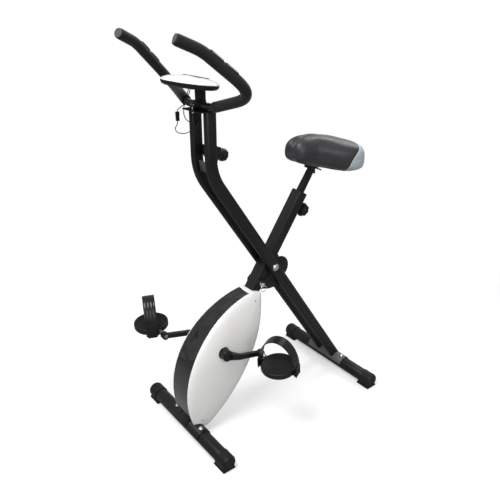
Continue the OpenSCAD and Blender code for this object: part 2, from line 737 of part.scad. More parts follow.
foam_first = [for (i = [0:len(bar_half) - 1]) if (bar_half[i][1] > foam_start_y) i][0];
foam_line = concat([mid(bar_half[foam_first - 1], bar_half[foam_first], 0.2)],
    [for (i = [foam_first:len(bar_half) - 1]) bar_half[i]]);
bar_side_dir = [-0.6, 0.15, 0.8];

module handlebar() color("#242527")
    skin(tube_rings(concat(flip(bar_half), [for (i = [1:len(bar_half) - 1]) bar_half[i]]),
        bar_d / 2, bar_sides, bar_side_dir));

module foam_grips() color("#2e2f31") both_sides() difference() {
    skin(tube_rings(foam_line, foam_d / 2, bar_sides, bar_side_dir));
    skin(tube_rings(concat([foam_line[0] - 3 * unit(foam_line[1] - foam_line[0])], foam_line,
        [bar_end + 3 * unit(bar_end - bar_knee)]), bar_d / 2 / cos(180 / bar_sides) + eps, bar_sides, bar_side_dir));
}

// Puts +Z along a direction
module aim(v) rotate([0, acos(v[2] / norm(v)), atan2(v[1], v[0])]) children();

module bar_end_plugs() color("#3c3d3f") both_sides() translate(bar_end) aim(bar_end - bar_knee) {
    translate([0, 0, run_gap]) cylinder(d = foam_d - 3, h = 2);
    translate([0, 0, 2]) cylinder(d1 = foam_d - 3, d2 = foam_d - 8, h = 1.5);
}

module pulse_sensors() color("#55585b") both_sides() for (t = pulse_places)
    translate(mid(bar_knee, bar_corner, t)) aim(bar_corner - bar_knee)
        rotate([0, 0, 180 - pulse_arc / 2]) rotate_extrude(angle = pulse_arc)
            translate([foam_d / 2 + 0.1, -pulse_l / 2]) square([pulse_t, pulse_l]);

module handlebar_clamp() color("#202123") {
    difference() {
        translate([bar_mid[0] - clamp_l / 2, -upright_gap / 2 - upright_w + 1, upright_top_z])
            cube([clamp_l, upright_gap + 2 * upright_w - 2, 2.5]);
        for (s = [-1, 1]) translate([bar_mid[0] + s * clamp_bolt_x, 0, upright_top_z - 1])
            cylinder(d = 6.4, h = 6);
    }
    difference() {
        union() {
            across(bar_mid, -clamp_w / 2, clamp_w / 2, bar_d + 6);
            translate([bar_mid[0] - clamp_l / 2, -clamp_w / 2, bar_mid[2] + 0.5])
                cube([clamp_l, clamp_w, 3.5]);
            translate([console_post_x - neck_l / 2, -neck_w / 2, bar_mid[2] + 8.5])
                cube([neck_l, neck_w, bar_d / 2 + 3 - 8.5]);
        }
        across(bar_mid, -clamp_w, clamp_w, bar_d + 0.1);
        translate([bar_mid[0] - 40, -clamp_w, bar_mid[2] - 30 + 0.5]) cube([80, 2 * clamp_w, 30]);
        for (s = [-1, 1]) translate([bar_mid[0] + s * clamp_bolt_x, 0, bar_mid[2]])
            cylinder(d = 6.4, h = 8);
    }
}

module clamp_bolts() color("silver") for (s = [-1, 1])
    translate([bar_mid[0] + s * clamp_bolt_x, 0, bar_mid[2] + 4])
        dome_bolt(6, 12, 4, bar_mid[2] + 4 - upright_top_z + 5);

// ---------- console ----------

function oval(rx, ry, z, n = 48) = [for (i = [0:n - 1]) [rx * cos(360 * i / n), ry * sin(360 * i / n), z]];

module at_console() translate(console_at) rotate([0, -console_tilt, 0]) children();

module console_cover() color("#f2f2f0") at_console() difference() {
    skin([for (k = [0:7]) let (a = 80 * k / 7) oval(console_d / 2 * cos(a), console_w / 2 * cos(a),
        cover_h * sin(a))]);
    skin([for (k = [0:7]) let (a = 80 * k / 7) oval((console_d / 2 - 2.5) * cos(a),
        (console_w / 2 - 2.5) * cos(a), (cover_h - 2.5) * sin(a) - (k == 0 ? 1 : 0))]);
    translate([display_x - display[0] / 2 - slip, -display[1] / 2 - slip, 5])
        cube([display[0] + 2 * slip, display[1] + 2 * slip, 20]);
    translate([button_x, 0, 0]) cylinder(d = button_d + 2 * slip, h = 30, center = true);
}

module console_base() color("#1a1b1c") at_console() {
    difference() {
        skin([for (k = [0:6]) let (a = 80 * k / 6) oval(console_d / 2 * cos(a) - 0.8 * k,
            console_w / 2 * cos(a) - 0.8 * k, -0.1 - 12 * sin(a))]);
        skin([for (k = [0:6]) let (a = 80 * k / 6) oval((console_d / 2 - 3) * cos(a) - 0.8 * k,
            (console_w / 2 - 3) * cos(a) - 0.8 * k, -9.5 * sin(a) + (k == 0 ? 1 : 0))]);
        for (at = lead_exits) translate([at[0], at[1], -20]) cylinder(d = lead_d + 1, h = 15);
    }
    for (at = board_posts) translate([at[0], at[1], -11]) cylinder(d = 6, h = 11 + board_z);
}

module console_display() color("#2b3330") at_console()
    translate([display_x, 0, display_top]) rotate([0, -display_tilt, 0])
        translate([-display[0] / 2, -display[1] / 2, -display[2]]) cube(display);

module console_board() color("#2f6b3f") at_console()
    translate([board_x[0], -board_y, board_z]) cube([board_x[1] - board_x[0], 2 * board_y, board_t]);

module console_button() color("#3a3c3e") at_console() translate([button_x, 0, 0]) {
    translate([0, 0, 4.5]) cylinder(d = button_d, h = button_top - 4.5);
    translate([0, 0, 4.5]) cylinder(d = button_d + 3, h = 2);
    translate([0, 0, board_z + board_t + button_travel + 0.4])
        cylinder(d = 6, h = 5 - board_z - board_t - button_travel - 0.4);
}

module console_post() color("#1b1c1d") {
    difference() {
        translate([console_post_x - neck_l / 2, -neck_w / 2, bar_mid[2] + bar_d / 2 + 3])
            cube([neck_l, neck_w, console_at[2] - bar_mid[2] + 20]);
        at_console() translate([-200, -100, -11.9]) cube([400, 200, 100]);
    }
}

// ---------- resistance control ----------

module at_tension() translate(tension_at) rotate([0, -90 - tension_tilt, 0]) children();

module tension_housing() color("#1d1e1f") {
    at_tension() {
        translate([0, 0, -15]) cylinder(d = 30, h = 22);
        translate([-17, -14, -31]) cube([34, 28, 27]);
    }
    translate(tension_at + [6, 0, -14]) rotate([0, 170, 0]) cylinder(d1 = 12, d2 = 7, h = 26);
    translate([upright_x - 17 + 2, -upright_gap / 2, tension_at[2] - 2]) cube([5, upright_gap, 26]);
}

module tension_knob() color("#26282a") at_tension() translate([0, 0, 7 + slip]) {
    cylinder(d = 28, h = 18);
    for (k = [0:7]) rotate(45 * k) translate([14, 0, 0]) cylinder(d = 6, h = 18);
}

// ---------- lock pin ----------

module lock_pin() color("silver") difference() {
    union() {
        across(lock_axis, seat_tube_w / 2 - frame_wall - lock_pin_in, ring_y - 4, lock_pin_d);
        across(lock_axis, pin_head_y, ring_y - 4, lock_head_d);
        across(lock_axis, ring_y - 5, ring_y + 4, pin_neck_d);
    }
    translate([lock_axis[0], ring_y, lock_axis[2]]) rotate([0, 90, 0])
        cylinder(d = ring_wire_d + 1.2, h = 40, center = true);
}

module pin_ring() color("silver") translate([lock_axis[0], ring_y, lock_axis[2] - ring_d / 2])
    rotate([90, 0, 0]) rotate_extrude() translate([ring_d / 2, 0]) circle(d = ring_wire_d, $fn = 24);

// ---------- seat ----------

// Frame of the plate on top of the seat post, level with the plate's underside
module at_post_plate() translate(post_top) rotate([0, -post_plate_tilt, 0]) children();

module seat_post() color("#2c2d2f") {
    along_seat_tube(seat_tube_len) difference() {
        translate([-post_w / 2, -post_w / 2, -post_in]) cube([post_w, post_w, post_in + post_out - 2]);
        translate([-post_w / 2 + 2, -post_w / 2 + 2, -post_in - 1])
            cube([post_w - 4, post_w - 4, post_in + post_out - 14]);
        for (k = [-4:2]) translate([-post_w, 0, -seat_knob_drop + k * post_hole_pitch])
            rotate([0, 90, 0]) cylinder(d = knob_pin_d + 2 * slip, h = post_w);
    }
    difference() {
        at_post_plate() {
            translate([-post_plate[0] / 2 + 2, -post_plate[1] / 2, 0])
                cube([post_plate[0], post_plate[1], post_plate_t]);
            translate([-14, -post_w / 2 + 1, -9]) cube([28, post_w - 2, 9 + eps]);
        }
        along_seat_tube(seat_tube_len) translate([-60, -30, post_out - 60]) cube([120, 60, 42]);
    }
}

function saddle_ring(s, grow = 0, rise = 0, n = 24) =
    let (middle = (s[2] + s[3]) / 2, half = (s[3] - s[2]) / 2 + rise)
    [for (i = [0:n - 1]) let (a = 360 * i / n, c = cos(a), d = sin(a))
        post_top + [saddle_front - s[0], (s[1] + grow) * sign(c) * pow(abs(c), 0.6),
        middle + half * sign(d) * pow(abs(d), 0.6)]];

module saddle_pad() color("#3a3a3c") skin([for (s = stations) saddle_ring(s)]);

// Plate under the saddle: the pad's own underside lowered, with a flat seat for the post
module saddle_base() color("#18191a") difference() {
    union() {
        translate([0, 0, -base_t]) skin([for (s = stations) saddle_ring(s, -base_inset)]);
        at_post_plate() translate([-post_plate[0] / 2 + 4, -post_plate[1] / 2 + 2, post_plate_t])
            cube([post_plate[0] - 4, post_plate[1] - 4, 16]);
    }
    translate([0, 0, -0.1]) skin([for (s = stations) saddle_ring(s)]);
    translate([0, 0, 20]) skin([for (s = stations) saddle_ring(s, 4)]);
}

// Slab from below the pad up to a little above its underside
function under_ring(s) = [for (c = [[-1, -20], [1, -20], [1, corner_low], [-1, corner_low]])
    post_top + [saddle_front - s[0], 150 * c[0], s[2] + c[1]]];

// Thin panels over the two rear corners of the pad, in front of them a curved edge
module saddle_corners() color("#9fa9ad") both_sides() difference() {
    skin([for (i = [5:11]) saddle_ring(stations[i], corner_gap + corner_t, corner_gap + corner_t)]);
    skin([for (i = [4:11]) saddle_ring(stations[i], corner_gap, corner_gap)]);
    skin([for (i = [4:11]) under_ring(stations[i])]);
    translate(post_top) plate(-200, corner_from) square([600, 600], center = true);
    translate(post_top) plate(0, 200) polygon(concat(
        [for (p = corner_line) [saddle_front - p[0], p[1]]],
        [[saddle_front - 222, 200], [saddle_front, 200], [saddle_front, -60], [saddle_front - 150, -60]]));
}

module seat_knob() color("#1e1f20") along_seat_tube(seat_tube_len - seat_knob_drop) rotate([0, -90, 0]) {
    translate([0, 0, seat_tube_d / 2 + 10 + slip]) cylinder(d = 16, h = 12);
    translate([0, 0, seat_tube_d / 2 + 18]) cylinder(d1 = 26, d2 = seat_knob_d, h = 8);
    translate([0, 0, seat_tube_d / 2 + 26 - eps]) cylinder(d = seat_knob_d, h = 10);
    translate([0, 0, seat_tube_d / 2 + 36 - 2 * eps]) cylinder(d1 = seat_knob_d, d2 = 30, h = 6);
    translate([0, 0, post_w / 2 - 4]) cylinder(d = knob_pin_d, h = 24);
}

// ---------- drive ----------

module crank_axle() color("silver") 
    across(crank_axis, -crank_axle_end, crank_axle_end, crank_axle_d);

module crank_arm(at, dir) {
    turn = atan2(dir[2], dir[0]);
    difference() {
        union() {
            across(at, boss_in_y, boss_in_y + boss_len, boss_d);
            translate([at[0], 0, at[2]]) rotate([0, -turn, 0]) hull() {
                translate([0, boss_in_y + boss_len / 2, 0]) rotate([-90, 0, 0])
                    cylinder(d = 26, h = boss_len / 2 - 1, $fn = 32);
                translate([34, arm_y - arm_t / 2 + 0.5, 0]) rotate([-90, 0, 0])
                    cylinder(d = arm_h + 2, h = arm_t - 1, $fn = 32);
            }
            translate([at[0], arm_y - arm_t / 2, at[2]]) rotate([0, -turn, 0])
                translate([30, 0, -arm_h / 2]) cube([crank_len - 30, arm_t, arm_h]);
            across(at + crank_len * dir, arm_y - arm_t / 2 - 0.5, arm_y + arm_t / 2 + 3, pedal_boss_d);
        }
        across(at, 0, boss_in_y + boss_len + 1, crank_axle_d);
        across(at, boss_in_y + boss_len, arm_y + arm_t, crank_cap_d);
        across(at + crank_len * dir, 0, 200, pedal_axle_d);
    }
}

module left_crank() color("#242527") crank_arm(crank_axis, crank_dir);
module right_crank() color("#242527") mirror([0, 1, 0]) crank_arm(crank_axis, -crank_dir);

module crank_caps() color("#202123") both_sides()
    across(crank_axis, boss_in_y + boss_len, boss_in_y + boss_len + 3, crank_cap_d);

module crank_pulley() color("#c9c9c4") difference() {
    union() {
        difference() {
            across(crank_axis, belt_y - belt_w / 2 - 1, belt_y + belt_w / 2 + 1, pulley_d);
            across(crank_axis, belt_y - 8, belt_y - 1.5, pulley_d - 12);
            across(crank_axis, belt_y + 1.5, belt_y + 8, pulley_d - 12);
        }
        across(crank_axis, seat_tube_w / 2 + 1.5, belt_y + 8, 36);
    }
    across(crank_axis, 0, 60, crank_axle_d);
    for (k = [0:5]) rotate_about(crank_axis, 60 * k)
        across(crank_axis + [0.3 * pulley_d, 0, 0], 0, 60, 0.2 * pulley_d);
}

module rotate_about(at, a) translate(at) rotate([0, a, 0]) translate(-at) children();

module pedal_axles() color("silver") {
    at = crank_axis + crank_len * crank_dir;
    across(at, arm_y - arm_t / 2, pedal_axle_end, pedal_axle_d);
    across(at, arm_y + arm_t / 2 + 3, arm_y + arm_t / 2 + 8, 17);
    far = crank_axis - crank_len * crank_dir;
    across(far, -pedal_axle_end, -arm_y + arm_t / 2, pedal_axle_d);
    across(far, -arm_y - arm_t / 2 - 8, -arm_y - arm_t / 2 - 3, 17);
}

module flywheel() color("#6d6f72") difference() {
    union() {
        difference() {
            across(flywheel_axis, flywheel_y - flywheel_t / 2, flywheel_y + flywheel_t / 2, flywheel_d);
            for (s = [-1, 1]) translate([0, s * flywheel_t / 2, 0])
                across(flywheel_axis, flywheel_y - 3, flywheel_y + 3, flywheel_d - 44);
        }
        across(flywheel_axis, flywheel_y - flywheel_t / 2, flywheel_y + flywheel_t / 2, 34);
    }
    across(flywheel_axis, -60, 0, flywheel_axle_d);
}

module flywheel_axle() color("silver") {
    across(flywheel_axis, flywheel_y - flywheel_t / 2 - 4, belt_y + belt_w / 2 + 3, flywheel_axle_d);
    across(flywheel_axis, seat_tube_w / 2 + 1 + slip, belt_y + belt_w / 2 + 1, small_pulley_d);
}

// Arm with a row of magnets that swings towards the rim of the flywheel
module magnet_arm() color("#8c8e90") {
    away = magnet_pivot - flywheel_axis;
    turn = atan2(away[2], away[0]);
    difference() {
        union() {
            across(magnet_pivot, flywheel_y - flywheel_t / 2, flywheel_y + flywheel_t / 2, 16);
            translate([flywheel_axis[0], flywheel_y + flywheel_t / 2, flywheel_axis[2]])
                rotate([90, 0, 0]) rotate(turn - magnet_arc)
                    rotate_extrude(angle = magnet_arc)
                        translate([flywheel_d / 2 + magnet_gap, 0]) square([6, flywheel_t]);
        }
        across(magnet_pivot, -60, 0, magnet_pin_d + 2 * run_gap);
    }
}

// ---------- pedals ----------

// Round pedal around its axle with studs on top and a lug under it that carries the strap
module pedal_body(turn) difference() {
    union() {
        translate([0, 0, -pedal_t / 2]) cylinder(d1 = pedal_d - 6, d2 = pedal_d, h = 5, $fn = 72);
        translate([0, 0, 5 - eps - pedal_t / 2]) cylinder(d = pedal_d, h = pedal_t - 7, $fn = 72);
        translate([0, 0, pedal_t / 2 - 2 - 2 * eps])
            cylinder(d1 = pedal_d, d2 = pedal_d - 4, h = 2, $fn = 72);
        for (ring = [[14, 6], [27, 12], [39, 18]]) for (i = [0:ring[1] - 1])
            rotate(360 * i / ring[1]) translate([ring[0], 0, pedal_t / 2 - 1])
                cylinder(d = 5, h = 2.2, $fn = 12);
        rotate(turn) translate([-lug_w / 2, -strap_half + 0.1, -strap_low])
            cube([lug_w, 2 * strap_half - 0.2, lug_h]);
    }
    translate([0, -pedal_d, 0]) rotate([-90, 0, 0])
        cylinder(d = pedal_axle_d + 2 * run_gap, h = 2 * pedal_d);
}

// Toe strap over the pedal with a ribbed tab outside each of its legs
module toe_strap(turn) rotate(turn) {
    translate([strap_w / 2, 0, 0]) rotate([90, 0, -90]) linear_extrude(strap_w) difference() {
        strap_shape(strap_half + strap_t, strap_rise + strap_t);
        strap_shape(strap_half, strap_rise);
        translate([-2 * strap_half, -2 * strap_rise - strap_low])
            square([4 * strap_half, 2 * strap_rise]);
    }
    for (s = [-1, 1]) {
        y = s * (strap_half + strap_t + tab_t / 2 - 0.4);
        translate([0, y, strap_low * 1.5 - tab_h / 2 - 6]) cube([strap_w - 6, tab_t, tab_h], center = true);
    }
}

module strap_shape(half, rise) {
    translate([-half, -2 * strap_low]) square([2 * half, 2 * strap_low + strap_spring + eps]);
    translate([0, strap_spring]) intersection() {
        arch(half, rise - strap_spring);
        translate([-half, 0]) square([2 * half, rise]);
    }
}

// Half oval of a given half width and height, made of straight chords
module arch(half, rise) polygon([for (i = [0:30]) [half * cos(6 * i), rise * sin(6 * i)]]);

module at_left_pedal() translate(left_pedal_at) rotate([0, left_pedal_pitch, 0]) children();
module at_right_pedal() translate(right_pedal_at) rotate([0, right_pedal_pitch, 0]) children();

module left_pedal() color("#222325") at_left_pedal() pedal_body(strap_turn);
module right_pedal() color("#222325") at_right_pedal() pedal_body(-strap_turn);
module left_strap() color("#2a2b2d") at_left_pedal() toe_strap(strap_turn);
module right_strap() color("#2a2b2d") at_right_pedal() toe_strap(-strap_turn);

// Small lens on the side of the pedal that faces the bike
module reflector(s) translate([0, s * (pedal_d / 2 - 3), -pedal_t / 2 - 2.5])
    cube([16, 6, 4.9], center = true);

module left_reflectors() color("#c8433f") at_left_pedal() reflector(-1);
module right_reflectors() color("#c8433f") at_right_pedal() reflector(1);

// ---------- leads ----------

module console_leads() color("#1a1a1a") translate(lead_base)
    for (route = [lead_route, lead_return, lead_straight])
        skin(tube_rings(route, lead_d / 2, 8, [1, 0, 0.2]));

module lead_plug() color("#151515") translate(lead_base + plug_at) cube(plug_size, center = true);

seat_tube();
front_foot_tube();
front_foot_bolts();
front_foot_caps();
pivot_bracket();
bottom_bracket();
ball_bearings();
left_shell();
right_shell();
front_band();
shell_screws();
speed_sensor();
seat_sleeve();
drive_belt();
left_upright();
right_upright();
upright_brace();
lock_plates();
rear_foot_tube();
rear_foot_bolts();
rear_foot_caps();
pivot_bolt();
handlebar();
handlebar_clamp();
clamp_bolts();
foam_grips();
bar_end_plugs();
pulse_sensors();
console_post();
console_base();
console_cover();
console_display();
console_board();
tension_housing();
lock_pin();
pin_ring();
seat_post();
saddle_base();
saddle_pad();
saddle_corners();
seat_knob();
console_button();
tension_knob();
magnet_arm();
crank_axle();
left_crank();
right_crank();
crank_pulley();
crank_caps();
pedal_axles();
flywheel();
flywheel_axle();
left_pedal();
left_strap();
left_reflectors();
right_pedal();
right_strap();
right_reflectors();
console_leads();
lead_plug();
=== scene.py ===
import bpy
import bmesh
import json
import math
from math import sin, cos, pi, radians, atan2, sqrt
from mathutils import Vector, Matrix
from mathutils.bvhtree import BVHTree


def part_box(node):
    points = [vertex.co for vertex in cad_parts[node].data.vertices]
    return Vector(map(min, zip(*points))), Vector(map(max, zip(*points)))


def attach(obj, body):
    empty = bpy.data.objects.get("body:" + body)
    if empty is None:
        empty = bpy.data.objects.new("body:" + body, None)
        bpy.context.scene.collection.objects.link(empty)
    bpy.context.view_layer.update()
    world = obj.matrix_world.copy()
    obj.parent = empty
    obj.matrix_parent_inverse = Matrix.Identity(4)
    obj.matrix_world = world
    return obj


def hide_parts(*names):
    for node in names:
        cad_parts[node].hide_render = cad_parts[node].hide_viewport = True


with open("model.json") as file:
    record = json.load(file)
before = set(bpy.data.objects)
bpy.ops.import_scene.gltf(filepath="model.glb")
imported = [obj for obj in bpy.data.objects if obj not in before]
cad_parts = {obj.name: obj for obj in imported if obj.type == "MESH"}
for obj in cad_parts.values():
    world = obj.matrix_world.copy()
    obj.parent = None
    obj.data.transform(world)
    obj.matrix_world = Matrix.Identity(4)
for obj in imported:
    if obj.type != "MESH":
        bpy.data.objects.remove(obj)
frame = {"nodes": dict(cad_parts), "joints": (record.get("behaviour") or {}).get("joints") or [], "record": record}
nodes = frame["nodes"]
joints = {j["name"]: j for j in frame["joints"]}
bodyOf = {n: b for b, ns in frame["record"]["behaviour"]["bodies"].items() for n in ns}
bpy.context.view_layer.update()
mm = 0.001

# places that the joints give, in metres
foldAt = Vector(joints["fold"]["pos_m"])
crankAt = Vector(joints["crank_spin"]["pos_m"])
ringAt = Vector(joints["pin_ring_swing"]["pos_m"])
knobAt = Vector(joints["tension_knob_turn"]["pos_m"])
knobAxis = Vector(joints["tension_knob_turn"]["axis"])
tubeUp = Vector(joints["seat_height"]["axis"])
tubeBack = Vector(joints["seat_knob_pull"]["axis"])
pedalAt = {side: Vector(joints[side + "_pedal_spin"]["pos_m"]) for side in ("left", "right")}


# shader groups, each built once

def startGroup(name, inputs, outputs):
    tree = bpy.data.node_groups.new(name, "ShaderNodeTree")
    for label, kind, value in inputs:
        made = tree.interface.new_socket(name=label, in_out="INPUT", socket_type="NodeSocket" + kind)
        if value is not None:
            made.default_value = value
    for label, kind in outputs:
        tree.interface.new_socket(name=label, in_out="OUTPUT", socket_type="NodeSocket" + kind)
    return tree, tree.nodes.new("NodeGroupInput"), tree.nodes.new("NodeGroupOutput")


def addNode(tree, kind, values=(), **settings):
    made = tree.nodes.new("ShaderNode" + kind)
    for key, value in settings.items():
        setattr(made, key, value)
    for key, value in values:
        made.inputs[key].default_value = value
    return made


def wire(start, outlet, end, inlet):
    end.id_data.links.new(start.outputs[outlet], end.inputs[inlet])


def makeMottleGroup():  # slow change of tone and gloss over a surface
    tree, enter, leave = startGroup("mottle", [("Vector", "Vector", None), ("Scale", "Float", 20.0)],
                                    [("Tone", "Float")])
    broad = addNode(tree, "TexNoise", [("Detail", 4.0), ("Roughness", 0.6)])
    spread = addNode(tree, "MapRange", [("From Min", 0.3), ("From Max", 0.7)])
    wire(enter, "Vector", broad, "Vector")
    wire(enter, "Scale", broad, "Scale")
    wire(broad, "Fac", spread, "Value")
    wire(spread, "Result", leave, "Tone")
    return tree


def makeGrainGroup():  # pebbled skin of moulded plastic, powder coat or foam
    tree, enter, leave = startGroup("grain", [("Vector", "Vector", None), ("Scale", "Float", 900.0),
                                              ("Pebble", "Float", 0.5)], [("Height", "Float")])
    cells = addNode(tree, "TexVoronoi", feature="SMOOTH_F1")
    fine = addNode(tree, "TexNoise", [("Detail", 3.0)])
    both = addNode(tree, "Mix", data_type="FLOAT")
    for made in (cells, fine):
        wire(enter, "Vector", made, "Vector")
        wire(enter, "Scale", made, "Scale")
    wire(enter, "Pebble", both, "Factor")
    wire(fine, "Fac", both, "A")
    wire(cells, "Distance", both, "B")
    wire(both, "Result", leave, "Height")
    return tree


def makeHideGroup():  # cells and creases of embossed vinyl: a height, and a crease mask for painted shade
    tree, enter, leave = startGroup("hide", [("Vector", "Vector", None), ("Scale", "Float", 420.0)],
                                    [("Height", "Float"), ("CreaseShade", "Float")])
    bend = addNode(tree, "TexNoise", [("Scale", 90.0), ("Detail", 2.0)])
    shift = addNode(tree, "VectorMath", operation="MULTIPLY_ADD")
    shift.inputs[1].default_value = (0.004, 0.004, 0.004)
    cells = addNode(tree, "TexVoronoi", feature="DISTANCE_TO_EDGE")
    creaseHeightAndShade = addNode(tree, "MapRange", [("From Min", 0.0), ("From Max", 0.16)])
    wire(enter, "Vector", bend, "Vector")
    wire(bend, "Color", shift, 0)
    wire(enter, "Vector", shift, 2)
    wire(shift, "Vector", cells, "Vector")
    wire(enter, "Scale", cells, "Scale")
    wire(cells, "Distance", creaseHeightAndShade, "Value")
    wire(creaseHeightAndShade, "Result", leave, "Height")
    wire(creaseHeightAndShade, "Result", leave, "CreaseShade")
    return tree


def makeScuffGroup():  # fine scratches and rubbed spots where hands and shoes touch
    tree, enter, leave = startGroup("scuff", [("Vector", "Vector", None), ("Amount", "Float", 0.4)],
                                    [("Mask", "Float")])
    stretch = addNode(tree, "Mapping", [("Scale", (900.0, 60.0, 300.0)), ("Rotation", (0.4, 0.9, 0.2))])
    lines = addNode(tree, "TexNoise", [("Scale", 1.0), ("Detail", 2.0)])
    patch = addNode(tree, "TexNoise", [("Scale", 28.0), ("Detail", 3.0)])
    thin = addNode(tree, "MapRange", [("From Min", 0.64), ("From Max", 0.74)])
    where = addNode(tree, "MapRange", [("From Min", 0.5), ("From Max", 0.68)])
    product = addNode(tree, "Math", operation="MULTIPLY")
    much = addNode(tree, "Math", operation="MULTIPLY")
    wire(enter, "Vector", stretch, "Vector")
    wire(stretch, "Vector", lines, "Vector")
    wire(enter, "Vector", patch, "Vector")
    wire(lines, "Fac", thin, "Value")
    wire(patch, "Fac", where, "Value")
    wire(thin, "Result", product, 0)
    wire(where, "Result", product, 1)
    wire(product, "Value", much, 0)
    wire(enter, "Amount", much, 1)
    wire(much, "Value", leave, "Mask")
    return tree


groups = {"mottle": makeMottleGroup(), "grain": makeGrainGroup(), "hide": makeHideGroup(),
          "scuff": makeScuffGroup()}


def useGroup(tree, name, place, **values):
    made = tree.nodes.new("ShaderNodeGroup")
    made.node_tree = groups[name]
    tree.links.new(place, made.inputs["Vector"])
    for key, value in values.items():
        made.inputs[key.capitalize()].default_value = value
    return made


def mixColours(tree, factor, low, high):
    made = addNode(tree, "Mix", data_type="RGBA")
    for socket, value in (("A", low), ("B", high)):
        target = [s for s in made.inputs if s.name == socket and s.type == "RGBA"][0]
        if isinstance(value, bpy.types.NodeSocket):
            tree.links.new(value, target)
        else:
            target.default_value = (*value, 1.0)
    tree.links.new(factor, made.inputs["Factor"])
    return [s for s in made.outputs if s.type == "RGBA"][0]


def makeFinish(name, look):
    made = bpy.data.materials.new(name)
    made.use_nodes = True
    tree = made.node_tree
    shader = tree.nodes["Principled BSDF"]
    place = tree.nodes.new("ShaderNodeTexCoord").outputs["Object"]
    colour, swing = Vector(look["colour"]), look.get("tone", 0.1)
    mottle = useGroup(tree, "mottle", place, scale=look.get("patch", 18.0))
    base = mixColours(tree, mottle.outputs["Tone"], colour * (1 - swing), colour * (1 + swing))
    if "scuff" in look:
        scuff = useGroup(tree, "scuff", place, amount=look["scuff"])
        base = mixColours(tree, scuff.outputs["Mask"], base, look["scuffColour"])
    if "hide" in look:
        skin = useGroup(tree, "hide", place, scale=look["hide"])
        # painted shade: the vinyl colour drops to 0.62 of itself along the crease lines
        base = mixColours(tree, skin.outputs["CreaseShade"], colour * 0.62, base)
    else:
        skin = useGroup(tree, "grain", place, scale=look.get("grain", 900.0), pebble=look.get("pebble", 0.5))
    tree.links.new(base, shader.inputs["Base Color"])
    rough = addNode(tree, "MapRange", [("To Min", look["rough"] - 0.05), ("To Max", look["rough"] + 0.06)])
    wire(mottle, "Tone", rough, "Value")
    wire(rough, "Result", shader, "Roughness")
    bump = addNode(tree, "Bump", [("Strength", look.get("bump", 0.4)), ("Distance", look["depth"])])
    wire(skin, "Height", bump, "Height")
    wire(bump, "Normal", shader, "Normal")
    for key, value in {"Specular IOR Level": look.get("shine", 0.5), **look.get("shader", {})}.items():
        shader.inputs[key].default_value = value
    return made


